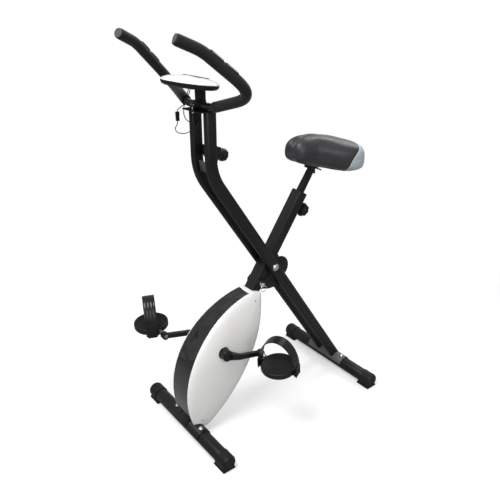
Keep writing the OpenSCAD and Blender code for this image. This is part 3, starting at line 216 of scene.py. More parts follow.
finishes = {
    "powderCoat": dict(colour=(0.0075, 0.0077, 0.0084), tone=0.16, rough=0.4, shine=0.28, grain=1500.0,
                       depth=0.00012, pebble=0.3, scuff=0.25, scuffColour=(0.04, 0.04, 0.042)),
    "footCoat": dict(colour=(0.0070, 0.0072, 0.0078), tone=0.2, rough=0.36, shine=0.26, grain=1400.0,
                     depth=0.0001, pebble=0.3, scuff=0.3, scuffColour=(0.04, 0.04, 0.04)),
    "greyPaint": dict(colour=(0.07, 0.074, 0.08), tone=0.1, rough=0.42, grain=1500.0, depth=0.0001),
    "enamel": dict(colour=(0.0060, 0.0062, 0.0067), tone=0.2, rough=0.26, shine=0.3, grain=700.0, depth=0.00006,
                   scuff=0.4, scuffColour=(0.05, 0.05, 0.05)),
    "housingWhite": dict(colour=(0.8, 0.79, 0.77), tone=0.012, rough=0.24, grain=500.0, depth=0.00003,
                         pebble=0.2, patch=6.0, shader={"Coat Weight": 0.35, "Coat Roughness": 0.12}),
    "bandGloss": dict(colour=(0.0060, 0.0064, 0.0068), tone=0.25, rough=0.2, shine=0.4, grain=500.0, depth=0.00003,
                      patch=9.0, shader={"Coat Weight": 0.6, "Coat Roughness": 0.06}),
    "mouldedBlack": dict(colour=(0.0065, 0.0067, 0.0073), tone=0.2, rough=0.46, shine=0.25, grain=1700.0, depth=0.0002,
                         pebble=0.7, scuff=0.2, scuffColour=(0.035, 0.035, 0.035)),
    "pedalBlack": dict(colour=(0.0070, 0.0072, 0.0078), tone=0.25, rough=0.42, shine=0.25, grain=1300.0, depth=0.0003,
                       pebble=0.7, scuff=0.6, scuffColour=(0.04, 0.04, 0.04)),
    "strapBlack": dict(colour=(0.0085, 0.0088, 0.0095), tone=0.15, rough=0.27, shine=0.28, grain=1500.0, depth=0.00015,
                       pebble=0.6),
    "foamBlack": dict(colour=(0.0100, 0.0103, 0.0112), tone=0.12, rough=0.8, shine=0.2, grain=2600.0, depth=0.0003,
                      pebble=0.85, bump=0.6, shader={"Sheen Weight": 0.25, "Sheen Roughness": 0.4}),
    "foamEnd": dict(colour=(0.055, 0.057, 0.06), tone=0.12, rough=0.7, grain=2200.0, depth=0.0003),
    "vinyl": dict(colour=(0.023, 0.0235, 0.0255), tone=0.1, rough=0.42, hide=520.0, depth=0.00022,
                  bump=0.35, patch=14.0, shader={"Sheen Weight": 0.12, "Sheen Roughness": 0.35}),
    "vinylGrey": dict(colour=(0.42, 0.475, 0.5), tone=0.07, rough=0.46, hide=520.0, depth=0.0002,
                      bump=0.35, patch=14.0),
    "piping": dict(colour=(0.5, 0.53, 0.54), tone=0.1, rough=0.5, grain=2400.0, depth=0.0001),
    "zinc": dict(colour=(0.62, 0.62, 0.61), tone=0.1, rough=0.24, grain=1800.0, depth=0.00006,
                 shader={"Metallic": 1.0}),
    "steel": dict(colour=(0.46, 0.465, 0.47), tone=0.12, rough=0.34, grain=2200.0, depth=0.00008,
                  shader={"Metallic": 1.0}),
    "darkSteel": dict(colour=(0.16, 0.162, 0.17), tone=0.15, rough=0.32, grain=2200.0, depth=0.00008,
                      shader={"Metallic": 1.0}),
    "castIron": dict(colour=(0.15, 0.15, 0.155), tone=0.25, rough=0.5, grain=900.0, depth=0.0003,
                     shader={"Metallic": 1.0}),
    "nylon": dict(colour=(0.6, 0.6, 0.57), tone=0.05, rough=0.5, grain=1500.0, depth=0.0001),
    "board": dict(colour=(0.02, 0.11, 0.04), tone=0.25, rough=0.4, grain=800.0, depth=0.0001),
    "reflectorRed": dict(colour=(0.5, 0.022, 0.02), tone=0.15, rough=0.16, grain=420.0, depth=0.0004,
                         pebble=1.0, bump=0.7, shader={"Coat Weight": 0.8, "Coat Roughness": 0.05}),
    "beltRubber": dict(colour=(0.0060, 0.0062, 0.0067), tone=0.2, rough=0.6, shine=0.25, grain=1500.0, depth=0.0002),
    "consoleWhite": dict(colour=(0.78, 0.78, 0.78), tone=0.008, rough=0.2, grain=500.0, depth=0.00002,
                         pebble=0.2, patch=12.0, shader={"Coat Weight": 0.4, "Coat Roughness": 0.08}),
    "displayGlass": dict(colour=(0.006, 0.0065, 0.007), tone=0.1, rough=0.1, grain=300.0, depth=0.00001,
                         shader={"Coat Weight": 1.0, "Coat Roughness": 0.03}),
    "liquidCrystal": dict(colour=(0.2, 0.235, 0.19), tone=0.03, rough=0.22, grain=900.0, depth=0.00001),
    "segmentInk": dict(colour=(0.012, 0.014, 0.012), tone=0.05, rough=0.3, grain=900.0, depth=0.00001),
    "barPaint": dict(colour=(0.03, 0.031, 0.033), tone=0.15, rough=0.26, grain=1800.0, depth=0.00005,
                     scuff=0.3, scuffColour=(0.2, 0.2, 0.2), shader={"Metallic": 0.6}),
    "sensorPlate": dict(colour=(0.03, 0.031, 0.034), tone=0.15, rough=0.22, grain=1600.0, depth=0.00004,
                        scuff=0.5, scuffColour=(0.14, 0.14, 0.145), shader={"Metallic": 0.7}),
    "wireJacket": dict(colour=(0.0060, 0.0062, 0.0067), tone=0.1, rough=0.45, shine=0.3, grain=2600.0, depth=0.0001),
}
finishes = {name: makeFinish(name, look) for name, look in finishes.items()}
print("finishes:", len(finishes))


# mesh helpers: most pieces are drawn into one bmesh and then finished

def placeAt(origin, up=(0, 0, 1), front=(1, 0, 0)):  # matrix with Z along up and X near front
    z = Vector(up).normalized()
    x = Vector(front) - Vector(front).dot(z) * z
    if x.length < 1e-5:
        x = Vector((0, 1, 0)) - z.y * z
    x.normalize()
    return Matrix.Translation(Vector(origin)) @ Matrix((x, z.cross(x), z)).transposed().to_4x4()


def joinRings(bm, rings, caps=True, loop=False):
    for a, b in zip(rings, rings[1:] + rings[:1] if loop else rings[1:]):
        count = max(len(a), len(b))
        for i in range(count):
            j = (i + 1) % count
            corners = dict.fromkeys((a[i % len(a)], a[j % len(a)], b[j % len(b)], b[i % len(b)]))
            if len(corners) > 2:
                bm.faces.new(list(corners))
    for ring in (rings[0], rings[-1]) if caps and not loop else ():
        if len(ring) > 2:
            bm.faces.new(ring)


def shiftBy(x, y, z):  # in millimetres
    return Matrix.Translation((x * mm, y * mm, z * mm))


def addLathe(bm, profile, place, sides=40, loop=False):  # profile of (radius, height) in millimetres
    rings = []
    for radius, height in profile:
        radius, height = radius * mm, height * mm
        spots = [(0, 0)] if radius < 1e-7 else [
            (radius * cos(2 * pi * i / sides), radius * sin(2 * pi * i / sides)) for i in range(sides)]
        rings.append([bm.verts.new(place @ Vector((x, y, height))) for x, y in spots])
    joinRings(bm, rings, loop=loop)


def wireLoop(radius, wire, sides):  # profile of a wire bent to a ring
    return [(radius + wire * cos(a), wire * sin(a)) for a in (2 * pi * i / sides for i in range(sides))]


def addBox(bm, size, place, bevel=0.0, steps=3):  # size and bevel in millimetres
    made = bmesh.ops.create_cube(bm, size=1.0, matrix=place @ Matrix.Diagonal((*(v * mm for v in size), 1.0)))
    if bevel:
        edges = list({e for v in made["verts"] for e in v.link_edges})
        bmesh.ops.bevel(bm, geom=edges, offset=bevel * mm, segments=steps, profile=0.5, affect="EDGES")


def carried(path, side):  # frames along a path, turned as little as possible
    frames, side = [], Vector(side)
    for i, p in enumerate(path):
        ahead = (path[min(i + 1, len(path) - 1)] - path[max(i - 1, 0)]).normalized()
        side = (side - side.dot(ahead) * ahead).normalized()
        frames.append((p, side, ahead.cross(side)))
    return frames


def addSweep(bm, path, section, side=(0.1, 0.2, 1.0), sizes=None, caps=True):
    rings = []
    for i, (p, u, v) in enumerate(carried(path, side)):
        size = sizes[i] if sizes else 1.0
        rings.append([bm.verts.new(p + size * (x * u + y * v)) for x, y in section])
    joinRings(bm, rings, caps)
    return rings


def circle(radius, sides=20):
    return [(radius * cos(2 * pi * i / sides), radius * sin(2 * pi * i / sides)) for i in range(sides)]


def bent(points, cuts, steps=8):  # a line through points, each corner turned on a curve
    line = [points[0]]
    for a, b, c, cut in zip(points, points[1:], points[2:], cuts):
        p = b + (a - b).normalized() * cut
        q = b + (c - b).normalized() * cut
        line += [(1 - t) ** 2 * p + 2 * t * (1 - t) * b + t * t * q for t in (i / steps for i in range(steps + 1))]
    return line + [points[-1]]


def spaced(path, step):  # the same line with points about a step apart
    line = [path[0]]
    for a, b in zip(path, path[1:]):
        count = max(1, round((b - a).length / step))
        line += [a.lerp(b, (i + 1) / count) for i in range(count)]
    return line


def mirrored(bm):
    copy = bmesh.ops.duplicate(bm, geom=list(bm.verts) + list(bm.edges) + list(bm.faces))
    verts = [g for g in copy["geom"] if isinstance(g, bmesh.types.BMVert)]
    bmesh.ops.scale(bm, vec=(1, -1, 1), verts=verts)


def newObject(name, mesh, finish):
    mesh.materials.clear()
    mesh.materials.append(finishes[finish])
    made = bpy.data.objects.new(name, mesh)
    bpy.context.scene.collection.objects.link(made)
    return made


def shade(mesh, angle):
    mesh.polygons.foreach_set("use_smooth", [True] * len(mesh.polygons))
    mesh.set_sharp_from_angle(angle=radians(angle))
    mesh.update()


def toMesh(bm, name, angle=35, outward=True):
    bmesh.ops.remove_doubles(bm, verts=bm.verts, dist=1e-6)
    if outward:
        bmesh.ops.recalc_face_normals(bm, faces=bm.faces)
    mesh = bpy.data.meshes.new(name)
    bm.to_mesh(mesh)
    bm.free()
    shade(mesh, angle)
    return mesh


def drawn(bm, name, finish, angle=35):
    return newObject(name, toMesh(bm, name, angle), finish)


def rollEdges(made, width, steps, angle):
    bevel = made.modifiers.new("edges", "BEVEL")
    bevel.width, bevel.segments = width, steps
    bevel.limit_method, bevel.angle_limit = "ANGLE", radians(angle)


def carve(made, cutter, way="DIFFERENCE"):
    cut = made.modifiers.new("cut", "BOOLEAN")
    cut.operation, cut.solver, cut.object = way, "EXACT", cutter


def settle(made, angle=None):  # modifiers into a plain mesh
    graph = bpy.context.evaluated_depsgraph_get()
    mesh = bpy.data.meshes.new_from_object(made.evaluated_get(graph))
    made.modifiers.clear()
    made.data = mesh
    if angle is not None:
        shade(mesh, angle)
    return made


def fit(made, node, *others):  # the piece rides with that node's body and stands for it
    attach(made, bodyOf[node])
    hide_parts(node, *others)
    return made


def fitExtra(made, node):  # a piece that is added to what the node shows
    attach(made, bodyOf[node])
    return made


def piece(bm, name, finish, node, *others, angle=35):
    return fit(drawn(bm, name, finish, angle), node, *others)


def extra(bm, name, finish, node, angle=35):
    return fitExtra(drawn(bm, name, finish, angle), node)


def camelCase(node):
    first, *rest = node.split("_")
    return first + "".join(word.capitalize() for word in rest)


def softened(node, finish, width, angle=32, steps=2):  # a copy of a CAD node with its edges rolled over
    bm = bmesh.new()
    bm.from_mesh(nodes[node].data)
    bmesh.ops.remove_doubles(bm, verts=bm.verts, dist=2e-6)
    bmesh.ops.dissolve_limit(bm, angle_limit=radians(0.6), verts=bm.verts, edges=bm.edges)
    made = newObject(camelCase(node), toMesh(bm, node, 30, outward=False), finish)
    rollEdges(made, width, steps, angle)
    return fit(settle(made, 40), node)


# Geometry Nodes: one tree sets copies of a small part on the points of a guide

def makeScatterTree():
    tree = bpy.data.node_groups.new("setOnPoints", "GeometryNodeTree")
    for label, kind in (("Geometry", "Geometry"), ("Part", "Object"), ("Size", "Float"), ("Jitter", "Float"),
                        ("Seed", "Int"), ("Finish", "Material")):
        tree.interface.new_socket(name=label, in_out="INPUT", socket_type="NodeSocket" + kind)
    tree.interface.new_socket(name="Geometry", in_out="OUTPUT", socket_type="NodeSocketGeometry")
    enter, leave = tree.nodes.new("NodeGroupInput"), tree.nodes.new("NodeGroupOutput")

    def node(kind, **settings):
        made = tree.nodes.new(kind)
        for key, value in settings.items():
            setattr(made, key, value)
        return made

    part = node("GeometryNodeObjectInfo", transform_space="ORIGINAL")
    outward = node("GeometryNodeInputNamedAttribute", data_type="FLOAT_VECTOR")
    outward.inputs["Name"].default_value = "outward"
    turn = node("FunctionNodeAlignRotationToVector", axis="Z")
    chance = node("FunctionNodeRandomValue", data_type="FLOAT")
    low = node("ShaderNodeMath", operation="SUBTRACT")
    scale = node("ShaderNodeMath", operation="MULTIPLY")
    setOn = node("GeometryNodeInstanceOnPoints")
    real = node("GeometryNodeRealizeInstances")
    paint = node("GeometryNodeSetMaterial")
    low.inputs[0].default_value = 1.0
    chance.inputs[3].default_value = 1.0
    wire(enter, "Part", part, "Object")
    wire(enter, "Jitter", low, 1)
    wire(low, "Value", chance, 2)
    wire(enter, "Seed", chance, "Seed")
    wire(chance, 1, scale, 0)
    wire(enter, "Size", scale, 1)
    wire(enter, "Geometry", setOn, "Points")
    wire(part, "Geometry", setOn, "Instance")
    wire(outward, "Attribute", turn, "Vector")
    wire(turn, "Rotation", setOn, "Rotation")
    wire(scale, "Value", setOn, "Scale")
    wire(setOn, "Instances", real, "Geometry")
    wire(real, "Geometry", paint, "Geometry")
    wire(enter, "Finish", paint, "Material")
    wire(paint, "Geometry", leave, "Geometry")
    return tree


scatterTree = makeScatterTree()


def scattered(name, spots, part, finish, size=1.0, jitter=0.0, seed=3, angle=35):
    # spots are (point, outward direction); part is a bmesh round the origin with Z outwards
    mesh = bpy.data.meshes.new(name)
    mesh.from_pydata([Vector(spot) for spot, _ in spots], [], [])
    outward = mesh.attributes.new("outward", "FLOAT_VECTOR", "POINT")
    outward.data.foreach_set("vector", [c for _, way in spots for c in Vector(way).normalized()])
    made = newObject(name, mesh, finish)
    sample = drawn(part, name + "Part", finish, angle)
    tree = made.modifiers.new("setOnPoints", "NODES")
    tree.node_group = scatterTree
    values = {"Part": sample, "Size": size, "Jitter": jitter, "Seed": seed, "Finish": finishes[finish]}
    for item in scatterTree.interface.items_tree:
        if item.in_out == "INPUT" and item.name in values:
            tree[item.identifier] = values[item.name]
    settle(made, angle)
    bpy.data.objects.remove(sample)
    return made


# tubes, plates and fasteners: the CAD shapes with rolled edges

rolled = {
    "powderCoat": dict(seat_tube=1.6, pivot_bracket=0.6, bottom_bracket=0.8, lock_plates=0.5, left_upright=0.4,
                       right_upright=0.4, handlebar_clamp=0.7),
    "footCoat": dict(front_foot_tube=0.4, rear_foot_tube=0.4),
    "greyPaint": dict(upright_brace=0.6),
    "enamel": dict(left_crank=1.0, right_crank=1.0),
    "mouldedBlack": dict(seat_sleeve=0.6, speed_sensor=0.8, console_post=2.0, tension_housing=1.2,
                         crank_caps=0.6),
    "zinc": dict(front_foot_bolts=0.3, rear_foot_bolts=0.3, pivot_bolt=0.5, clamp_bolts=0.3, lock_pin=0.4),
    "steel": dict(crank_axle=0.4, pedal_axles=0.4, flywheel_axle=0.4, magnet_arm=0.6),
    "castIron": dict(flywheel=1.2),
    "nylon": dict(crank_pulley=0.5),
    "board": dict(console_board=0.3),
}
for finish, widths in rolled.items():
    for node, width in widths.items():
        softened(node, finish, width * mm)
post = softened("seat_post", "powderCoat", 1.2 * mm)
postPlate = dict(above=0.724, centre=(-0.1846, 0, 0.7351), lengthShare=0.55, widthShare=0.8, lift=0.009)
for v in post.data.vertices:  # the plate on the post: smaller and drawn up under the pad
    if v.co.z > postPlate["above"]:
        centre = Vector(postPlate["centre"])
        shift = v.co - centre
        shift.x *= postPlate["lengthShare"]
        shift.y *= postPlate["widthShare"]
        v.co = centre + shift + tubeUp * postPlate["lift"]
for node, finish in (("ball_bearings", "steel"), ("drive_belt", "beltRubber")):
    nodes[node].data.materials.clear()
    nodes[node].data.materials.append(finishes[finish])
print("frame parts done")


# end caps of the floor tubes

footCap = dict(radius=23.0, tubeRadius=21.2, round=4.0, ribs=(4.0, 9.0), ribHeight=0.9, ribHalf=1.3,
               footWidth=38.0, footHeight=15.0, footLength=44.0, padHeight=5.0, padLength=49.0, padLip=1.6,
               recess=15.5, recessDepth=0.8, capLength=42.0, axisHeight=26.0)


def makeFootCaps(node, name):
    low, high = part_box(node)
    tip, axisX = high.y / mm, (low.x + high.x) / 2 / mm
    c = footCap
    start = tip - c["capLength"]
    profile = [(c["tubeRadius"], start + 0.4), (c["radius"] - 0.8, start), (c["radius"], start + 0.8)]
    for at in c["ribs"]:
        for shift, rise in ((-c["ribHalf"], 0), (-c["ribHalf"] * 0.5, 1), (c["ribHalf"] * 0.5, 1), (c["ribHalf"], 0)):
            profile.append((c["radius"] - 0.5 + rise * c["ribHeight"] * 0.5, start + at + shift))
    profile.append((c["radius"], tip - c["round"] - 3))
    profile += [(c["radius"] - 2.2 - c["round"] * (1 - cos(a)), tip - c["round"] * (1 - sin(a)))
                for a in (pi / 2 * i / 6 for i in range(7))]
    profile += [(c["recess"] + 0.6, tip), (c["recess"], tip - c["recessDepth"]), (0, tip - c["recessDepth"])]
    bm = bmesh.new()
    place = shiftBy(axisX, 0, c["axisHeight"]) @ Matrix.Rotation(-pi / 2, 4, "X")
    addLathe(bm, profile, place, 56)
    middle = tip - 24.5
    block = shiftBy(axisX, middle - 1, c["footHeight"] / 2)
    addBox(bm, (c["footWidth"], c["footLength"], c["footHeight"]), block, 2.2)
    pad = shiftBy(axisX, middle - 1.5, c["padHeight"] / 2)
    addBox(bm, (c["footWidth"] + 2 * c["padLip"], c["padLength"], c["padHeight"]), pad, 1.4)
    mirrored(bm)
    return piece(bm, name, "mouldedBlack", node)


makeFootCaps("front_foot_caps", "frontFootCaps")
makeFootCaps("rear_foot_caps", "rearFootCaps")
print("feet done")


# housing: two domed side shells and the dark band round the front

housing = dict(topRear=(24.0, 405.0), topFront=(52.0, 414.0), front=(297.5, 190.0), lowFront=(275.5, 26.0),
               lowRear=(235.5, 24.0), riseUpper=56.0, riseLower=13.0, riseRear=57.0, middle=(177.5, 230.0),
               rimY=38.5, taperUp=14.0, taperDown=1.0, bulge=20.9, wall=2.4, domeEnd=84.0, domeSteps=16,
               bandStart=3, bandStop=48, bandRecess=0.3, facetDepth=3.2, facetLength=58.0, facetShare=0.6,
               bandDepth=4.0, bandColumns=28, rimRoll=0.7, screws=((52.0, 388.0), (259.5, 60.0)),
               tubeSlot=(28.6, 38.6, 700.0), footHole=24.5, crankHole=18.5)


def arcPoints(a, b, rise, count):
    a, b = Vector(a), Vector(b)
    chord = (b - a).length
    radius = (chord ** 2 / 4 + rise ** 2) / (2 * rise)
    along = (b - a) / chord
    out = Vector((-along.y, along.x))
    centre = (a + b) / 2 - out * (radius - rise)
    half = atan2(chord / 2, radius - rise)
    return [centre + radius * (sin(t) * along + cos(t) * out)
            for t in (-half + 2 * half * i / count for i in range(count + 1))]


def roundedOutline(runs, cut=5.0, steps=4):  # runs of points, the corner between two runs rolled over
    line = []
    for k, run in enumerate(runs):
        after = runs[(k + 1) % len(runs)]
        keep = [p for p in run if (p - run[0]).length > cut and (p - run[-1]).length > cut]
        line += keep
        corner = run[-1]
        p = corner + (keep[-1] - corner).normalized() * cut
        inside = [q for q in after if (q - after[0]).length > cut]
        q = corner + (inside[0] - corner).normalized() * cut
        line += [(1 - t) ** 2 * p + 2 * t * (1 - t) * corner + t * t * q
                 for t in ((i + 0.5) / steps for i in range(steps))]
    return line


h = housing
runs = [arcPoints(h["topFront"], h["front"], h["riseUpper"], 40),
        arcPoints(h["front"], h["lowFront"], h["riseLower"], 18),
        arcPoints(h["lowFront"], h["lowRear"], 0.01, 6),
        arcPoints(h["lowRear"], h["topRear"], h["riseRear"], 44),
        arcPoints(h["topRear"], h["topFront"], 0.01, 5)]
outline = roundedOutline(runs)
middle = Vector(h["middle"])


def rimAt(p):  # half the gap between the two rims, narrower towards the top
    v = (p.y - middle.y) / 190
    return h["rimY"] - (h["taperUp"] if v > 0 else h["taperDown"]) * v * v


def domeY(p, share, bulge):  # height of the dome over a share of the way from the middle to p
    end = cos(radians(h["domeEnd"]))
    fade = (share - end) / (1 - end)
    return h["rimY"] + bulge * sqrt(max(0.0, 1 - share * share)) - (h["rimY"] - rimAt(p)) * fade


def shellRing(bm, share, height, side, inset=0.0):  # height is a function of the outline point
    ring = []
    for p in outline:
        way = (p - middle).normalized()
        q = middle + share * (p - middle) - inset * way
        ring.append(bm.verts.new((q.x * mm, side * height(p) * mm, q.y * mm)))
    return ring


dense = (arcPoints(h["topFront"], h["front"], h["riseUpper"], 84)[h["bandStart"]:]
         + arcPoints(h["front"], h["lowFront"], h["riseLower"], 56)[1:h["bandStop"] + 1])


def bandCutter(side):  # the region of the band on one side, a little longer at both ends
    line = [dense[0] + (dense[0] - dense[1]).normalized() * 0.4, *dense[1:-1],
            dense[-1] + (dense[-1] - dense[-2]).normalized() * 0.4]
    bm = bmesh.new()
    rings = []
    for p in line:
        way = (p - middle).normalized()
        a, b, y = p + 20 * way, p - 24 * way, rimAt(p) + 0.2
        rings.append([bm.verts.new((q.x * mm, side * t * mm, q.y * mm))
                      for q, t in ((a, -1.0), (a, y), (b, y), (b, -1.0))])
    joinRings(bm, rings)
    return drawn(bm, "cutBand", "housingWhite")


def makeShell(side, name, node):
    bm = bmesh.new()
    middleY = h["rimY"] + h["bulge"]
    shares = [cos(radians(h["domeEnd"]) * k / h["domeSteps"]) for k in range(h["domeSteps"] + 1)]

    def flat(part):
        return lambda p: 0.2 + part * (rimAt(p) - 0.2)

    def dome(share, bulge):
        return lambda p: domeY(p, share, bulge)

    outer = [shellRing(bm, 1, flat(part), side) for part in (0, 0.33, 0.67, 0.9)]
    outer += [shellRing(bm, share, dome(share, h["bulge"]), side) for share in shares]
    outer.append([bm.verts.new((middle.x * mm, middleY * side * mm, middle.y * mm))])
    inner = [shellRing(bm, 1, flat(part), side, h["wall"]) for part in (0, 0.5, 0.9)]
    inner += [shellRing(bm, share, dome(share, h["bulge"] - h["wall"]), side, h["wall"] * share) for share in shares]
    inner.append([bm.verts.new((middle.x * mm, (middleY - h["wall"]) * side * mm, middle.y * mm))])
    joinRings(bm, outer, caps=False)
    joinRings(bm, inner, caps=False)
    joinRings(bm, [outer[0], inner[0]], caps=False)
    made = drawn(bm, name, "housingWhite", 30)
    cutters = [bandCutter(side)]
    bm = bmesh.new()
    tubeLine = foldAt + 10.5 * mm * Vector((-tubeBack.x, 0, -tubeBack.z))
    addBox(bm, h["tubeSlot"], placeAt(tubeLine - 0.1 * tubeUp, tubeUp))
    cutters.append(drawn(bm, "cutTube", "housingWhite"))
    bm = bmesh.new()
    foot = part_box("front_foot_caps")
    addLathe(bm, [(h["footHole"], -80), (h["footHole"], 80)],
             Matrix.Translation(((foot[0].x + foot[1].x) / 2, 0, 0.026)) @ Matrix.Rotation(-pi / 2, 4, "X"), 48)
    cutters.append(drawn(bm, "cutFoot", "housingWhite"))
    bm = bmesh.new()
    addLathe(bm, [(h["crankHole"], 20 * side), (h["crankHole"], 80 * side)],
             Matrix.Translation(crankAt) @ Matrix.Rotation(-pi / 2, 4, "X"), 48)
    cutters.append(drawn(bm, "cutCrank", "housingWhite"))
    for cutter in cutters:
        carve(made, cutter)
    rollEdges(made, h["rimRoll"] * mm, 2, 50)
    settle(made, 32)
    for cutter in cutters:
        bpy.data.objects.remove(cutter)
    return fit(made, node)


makeShell(1, "leftShell", "left_shell")
makeShell(-1, "rightShell", "right_shell")


def makeBand():
    line = dense
    reach = [0.0]
    for a, b in zip(line, line[1:]):
        reach.append(reach[-1] + (b - a).length)
    columns = h["bandColumns"]
    bm = bmesh.new()

    def ripple(x):  # 0 at the creases and 1 half way between
        return abs(2 * (x - round(x)))

    rings = []
    for i, (p, s) in enumerate(zip(line, reach)):
        ahead = (line[min(i + 1, len(line) - 1)] - line[max(i - 1, 0)]).normalized()
        inward = Vector((ahead.y, -ahead.x))
        inward = inward if inward.dot(middle - p) > 0 else -inward
        fade = max(0.0, min(1.0, (h["facetShare"] * reach[-1] - s) / 40))
        half = rimAt(p) - 0.25
        row = []
        for k in range(columns + 1):
            y = half * (2 * k / columns - 1)
            first = ripple(s / h["facetLength"] + y / 96 + 0.2)
            second = ripple(s / h["facetLength"] * 0.8 - y / 70 + 0.45)
            edge = min(1.0, (half - abs(y)) / 5)
            depth = h["bandRecess"] + fade * edge * h["facetDepth"] * min(first, second)
            q = p + inward * depth
            row.append(bm.verts.new((q.x * mm, y * mm, q.y * mm)))
        for y in (half, 0, -half):  # back edge, so that the strip has a thickness
            q = p + inward * h["bandDepth"]
            row.append(bm.verts.new((q.x * mm, y * mm, q.y * mm)))
        rings.append(row)
    joinRings(bm, rings)
    return piece(bm, "frontBand", "bandGloss", "front_band", angle=12)


makeBand()
bm = bmesh.new()
for side in (1, -1):
    for x, z in h["screws"]:
        p = Vector((x, z))
        way = (p - middle).normalized()
        rimPoint = max((q for q in outline if abs((q - middle).normalized().angle_signed(way)) < 0.06),
                       key=lambda q: (q - middle).length)
        y = domeY(rimPoint, min(1.0, (p - middle).length / (rimPoint - middle).length), h["bulge"])
        place = placeAt((x * mm, side * (y - 1.6) * mm, z * mm), (0, side, 0))  # the head stands in the dome
        addLathe(bm, [(0, -6), (1.5, -6), (1.5, 0.2), (3.4, 0.2), (3.4, 1.0), (2.9, 1.7), (1.4, 2.0), (1.2, 1.0),
                      (0, 1.0)], place, 28)
piece(bm, "shellScrews", "zinc", "shell_screws")
print("housing done")


# saddle: padded vinyl with a split nose and two grey corner panels

saddle = dict(noseX=-101.0, inset=1.5, waist=0.4, top=(0.72, 0.92), rear=(0.52, 0.56),
              under=(0.45, 0.5), baseInset=24.0, baseDrop=-2.5, step=5.0, voxel=4.5, pressure=4.0, cap=2.5,
              grooveDepth=14.0, grooveBack=85.0, grooveHalf=9.0, notch=8.0, notchBack=60.0,
              panelCurve=((151, 735), (146, 789), (222, 818)), panelFrom=39.0, panelLift=0.9, pipe=0.9,
              sides=72, baseBlock=(40, 30, 20), baseBlockAt=(-192, 0, 752))
stations = ((0, 24, 782, 818), (4, 33, 777, 828), (12, 40, 773, 835), (32, 46, 766, 841), (67, 53, 755, 840),
            (102, 70, 746, 837), (132, 89, 738, 830), (162, 102, 732, 822), (187, 105, 730, 817),
            (207, 100, 731, 812), (221, 83, 736, 806), (228, 58, 744, 798))


def between(rows, at):  # a smooth curve through rows of (place, value, value, ...)
    k = max(i for i in range(len(rows) - 1) if rows[i][0] <= at)
    a, b = rows[k], rows[k + 1]
    span = b[0] - a[0]
    t = (at - a[0]) / span

    def slope(i, c):
        low, high = rows[max(i - 1, 0)], rows[min(i + 1, len(rows) - 1)]
        return span * (high[c] - low[c]) / (high[0] - low[0])

    return [(2 * t ** 3 - 3 * t * t + 1) * a[c] + (t ** 3 - 2 * t * t + t) * slope(k, c)
            + (3 * t * t - 2 * t ** 3) * b[c] + (t ** 3 - t * t) * slope(k + 1, c) for c in range(1, len(a))]


def puffed(made, voxel, pressure, cap, frames=20):  # blown up as a stuffed cover, each point held to a cap
    even = made.modifiers.new("even", "REMESH")
    even.mode, even.voxel_size = "VOXEL", voxel
    settle(made)
    padding = made.modifiers.new("padding", "CLOTH")
    padding.settings.use_pressure = True
    padding.settings.uniform_pressure_force = pressure
    padding.settings.effector_weights.gravity = 0.0
    padding.point_cache.frame_start, padding.point_cache.frame_end = 1, frames
    for at in range(1, frames + 1):
        bpy.context.scene.frame_set(at)
    blown = made.evaluated_get(bpy.context.evaluated_depsgraph_get()).data
    moved = [v.co.copy() for v in blown.vertices]
    made.modifiers.clear()
    for v, to in zip(made.data.vertices, moved):
        step = to - v.co
        v.co += step * min(1.0, cap / max(step.length, 1e-9))
    bpy.context.scene.frame_set(1)
    even = made.modifiers.new("even", "SMOOTH")
    even.factor, even.iterations = 0.5, 8
    fine = made.modifiers.new("fine", "SUBSURF")
    fine.levels = fine.render_levels = 1
    return settle(made, 60)


def makeSaddle():
    s = saddle
    bm = bmesh.new()
    places = [1.5, 4.0] + [s["step"] * i for i in range(2, 45)] + [223.5, 226.5]
    rings = []
    for place in places:
        half, low, high = between(stations, place)
        low, high = low + s["inset"], high - s["inset"]
        middle = low + s["waist"] * (high - low)
        boxy = max(0.0, min(1.0, (place - 110) / 80))
        boxy = boxy * boxy * (3 - 2 * boxy)
        upper = [a + (b - a) * boxy for a, b in zip(s["top"], s["rear"])]
        ring = []
        for i in range(s["sides"]):
            turn = 2 * pi * i / s["sides"]
            c, d = cos(turn), sin(turn)
            across, upright = upper if d > 0 else s["under"]
            y = (half - s["inset"]) * abs(c) ** across * (1 if c > 0 else -1)
            z = middle + (high - middle if d > 0 else low - middle) * abs(d) ** upright
            centre = math.exp(-(y / s["grooveHalf"]) ** 2)
            x = s["noseX"] - place - s["notch"] * centre * max(0, 1 - place / s["notchBack"])
            if d > 0:
                z -= s["grooveDepth"] * centre * max(0, 1 - place / s["grooveBack"]) ** 0.8
            ring.append(bm.verts.new((x * mm, y * mm, z * mm)))
        rings.append(ring)
    joinRings(bm, rings)
    pad = drawn(bm, "saddlePad", "vinyl", 60)
    return puffed(pad, s["voxel"] * mm, s["pressure"], s["cap"] * mm)


def panelPoints(count):
    p, q, r = (Vector(v) for v in saddle["panelCurve"])
    return [(1 - t) ** 2 * p + 2 * t * (1 - t) * q + t * t * r for t in (i / count for i in range(count + 1))]


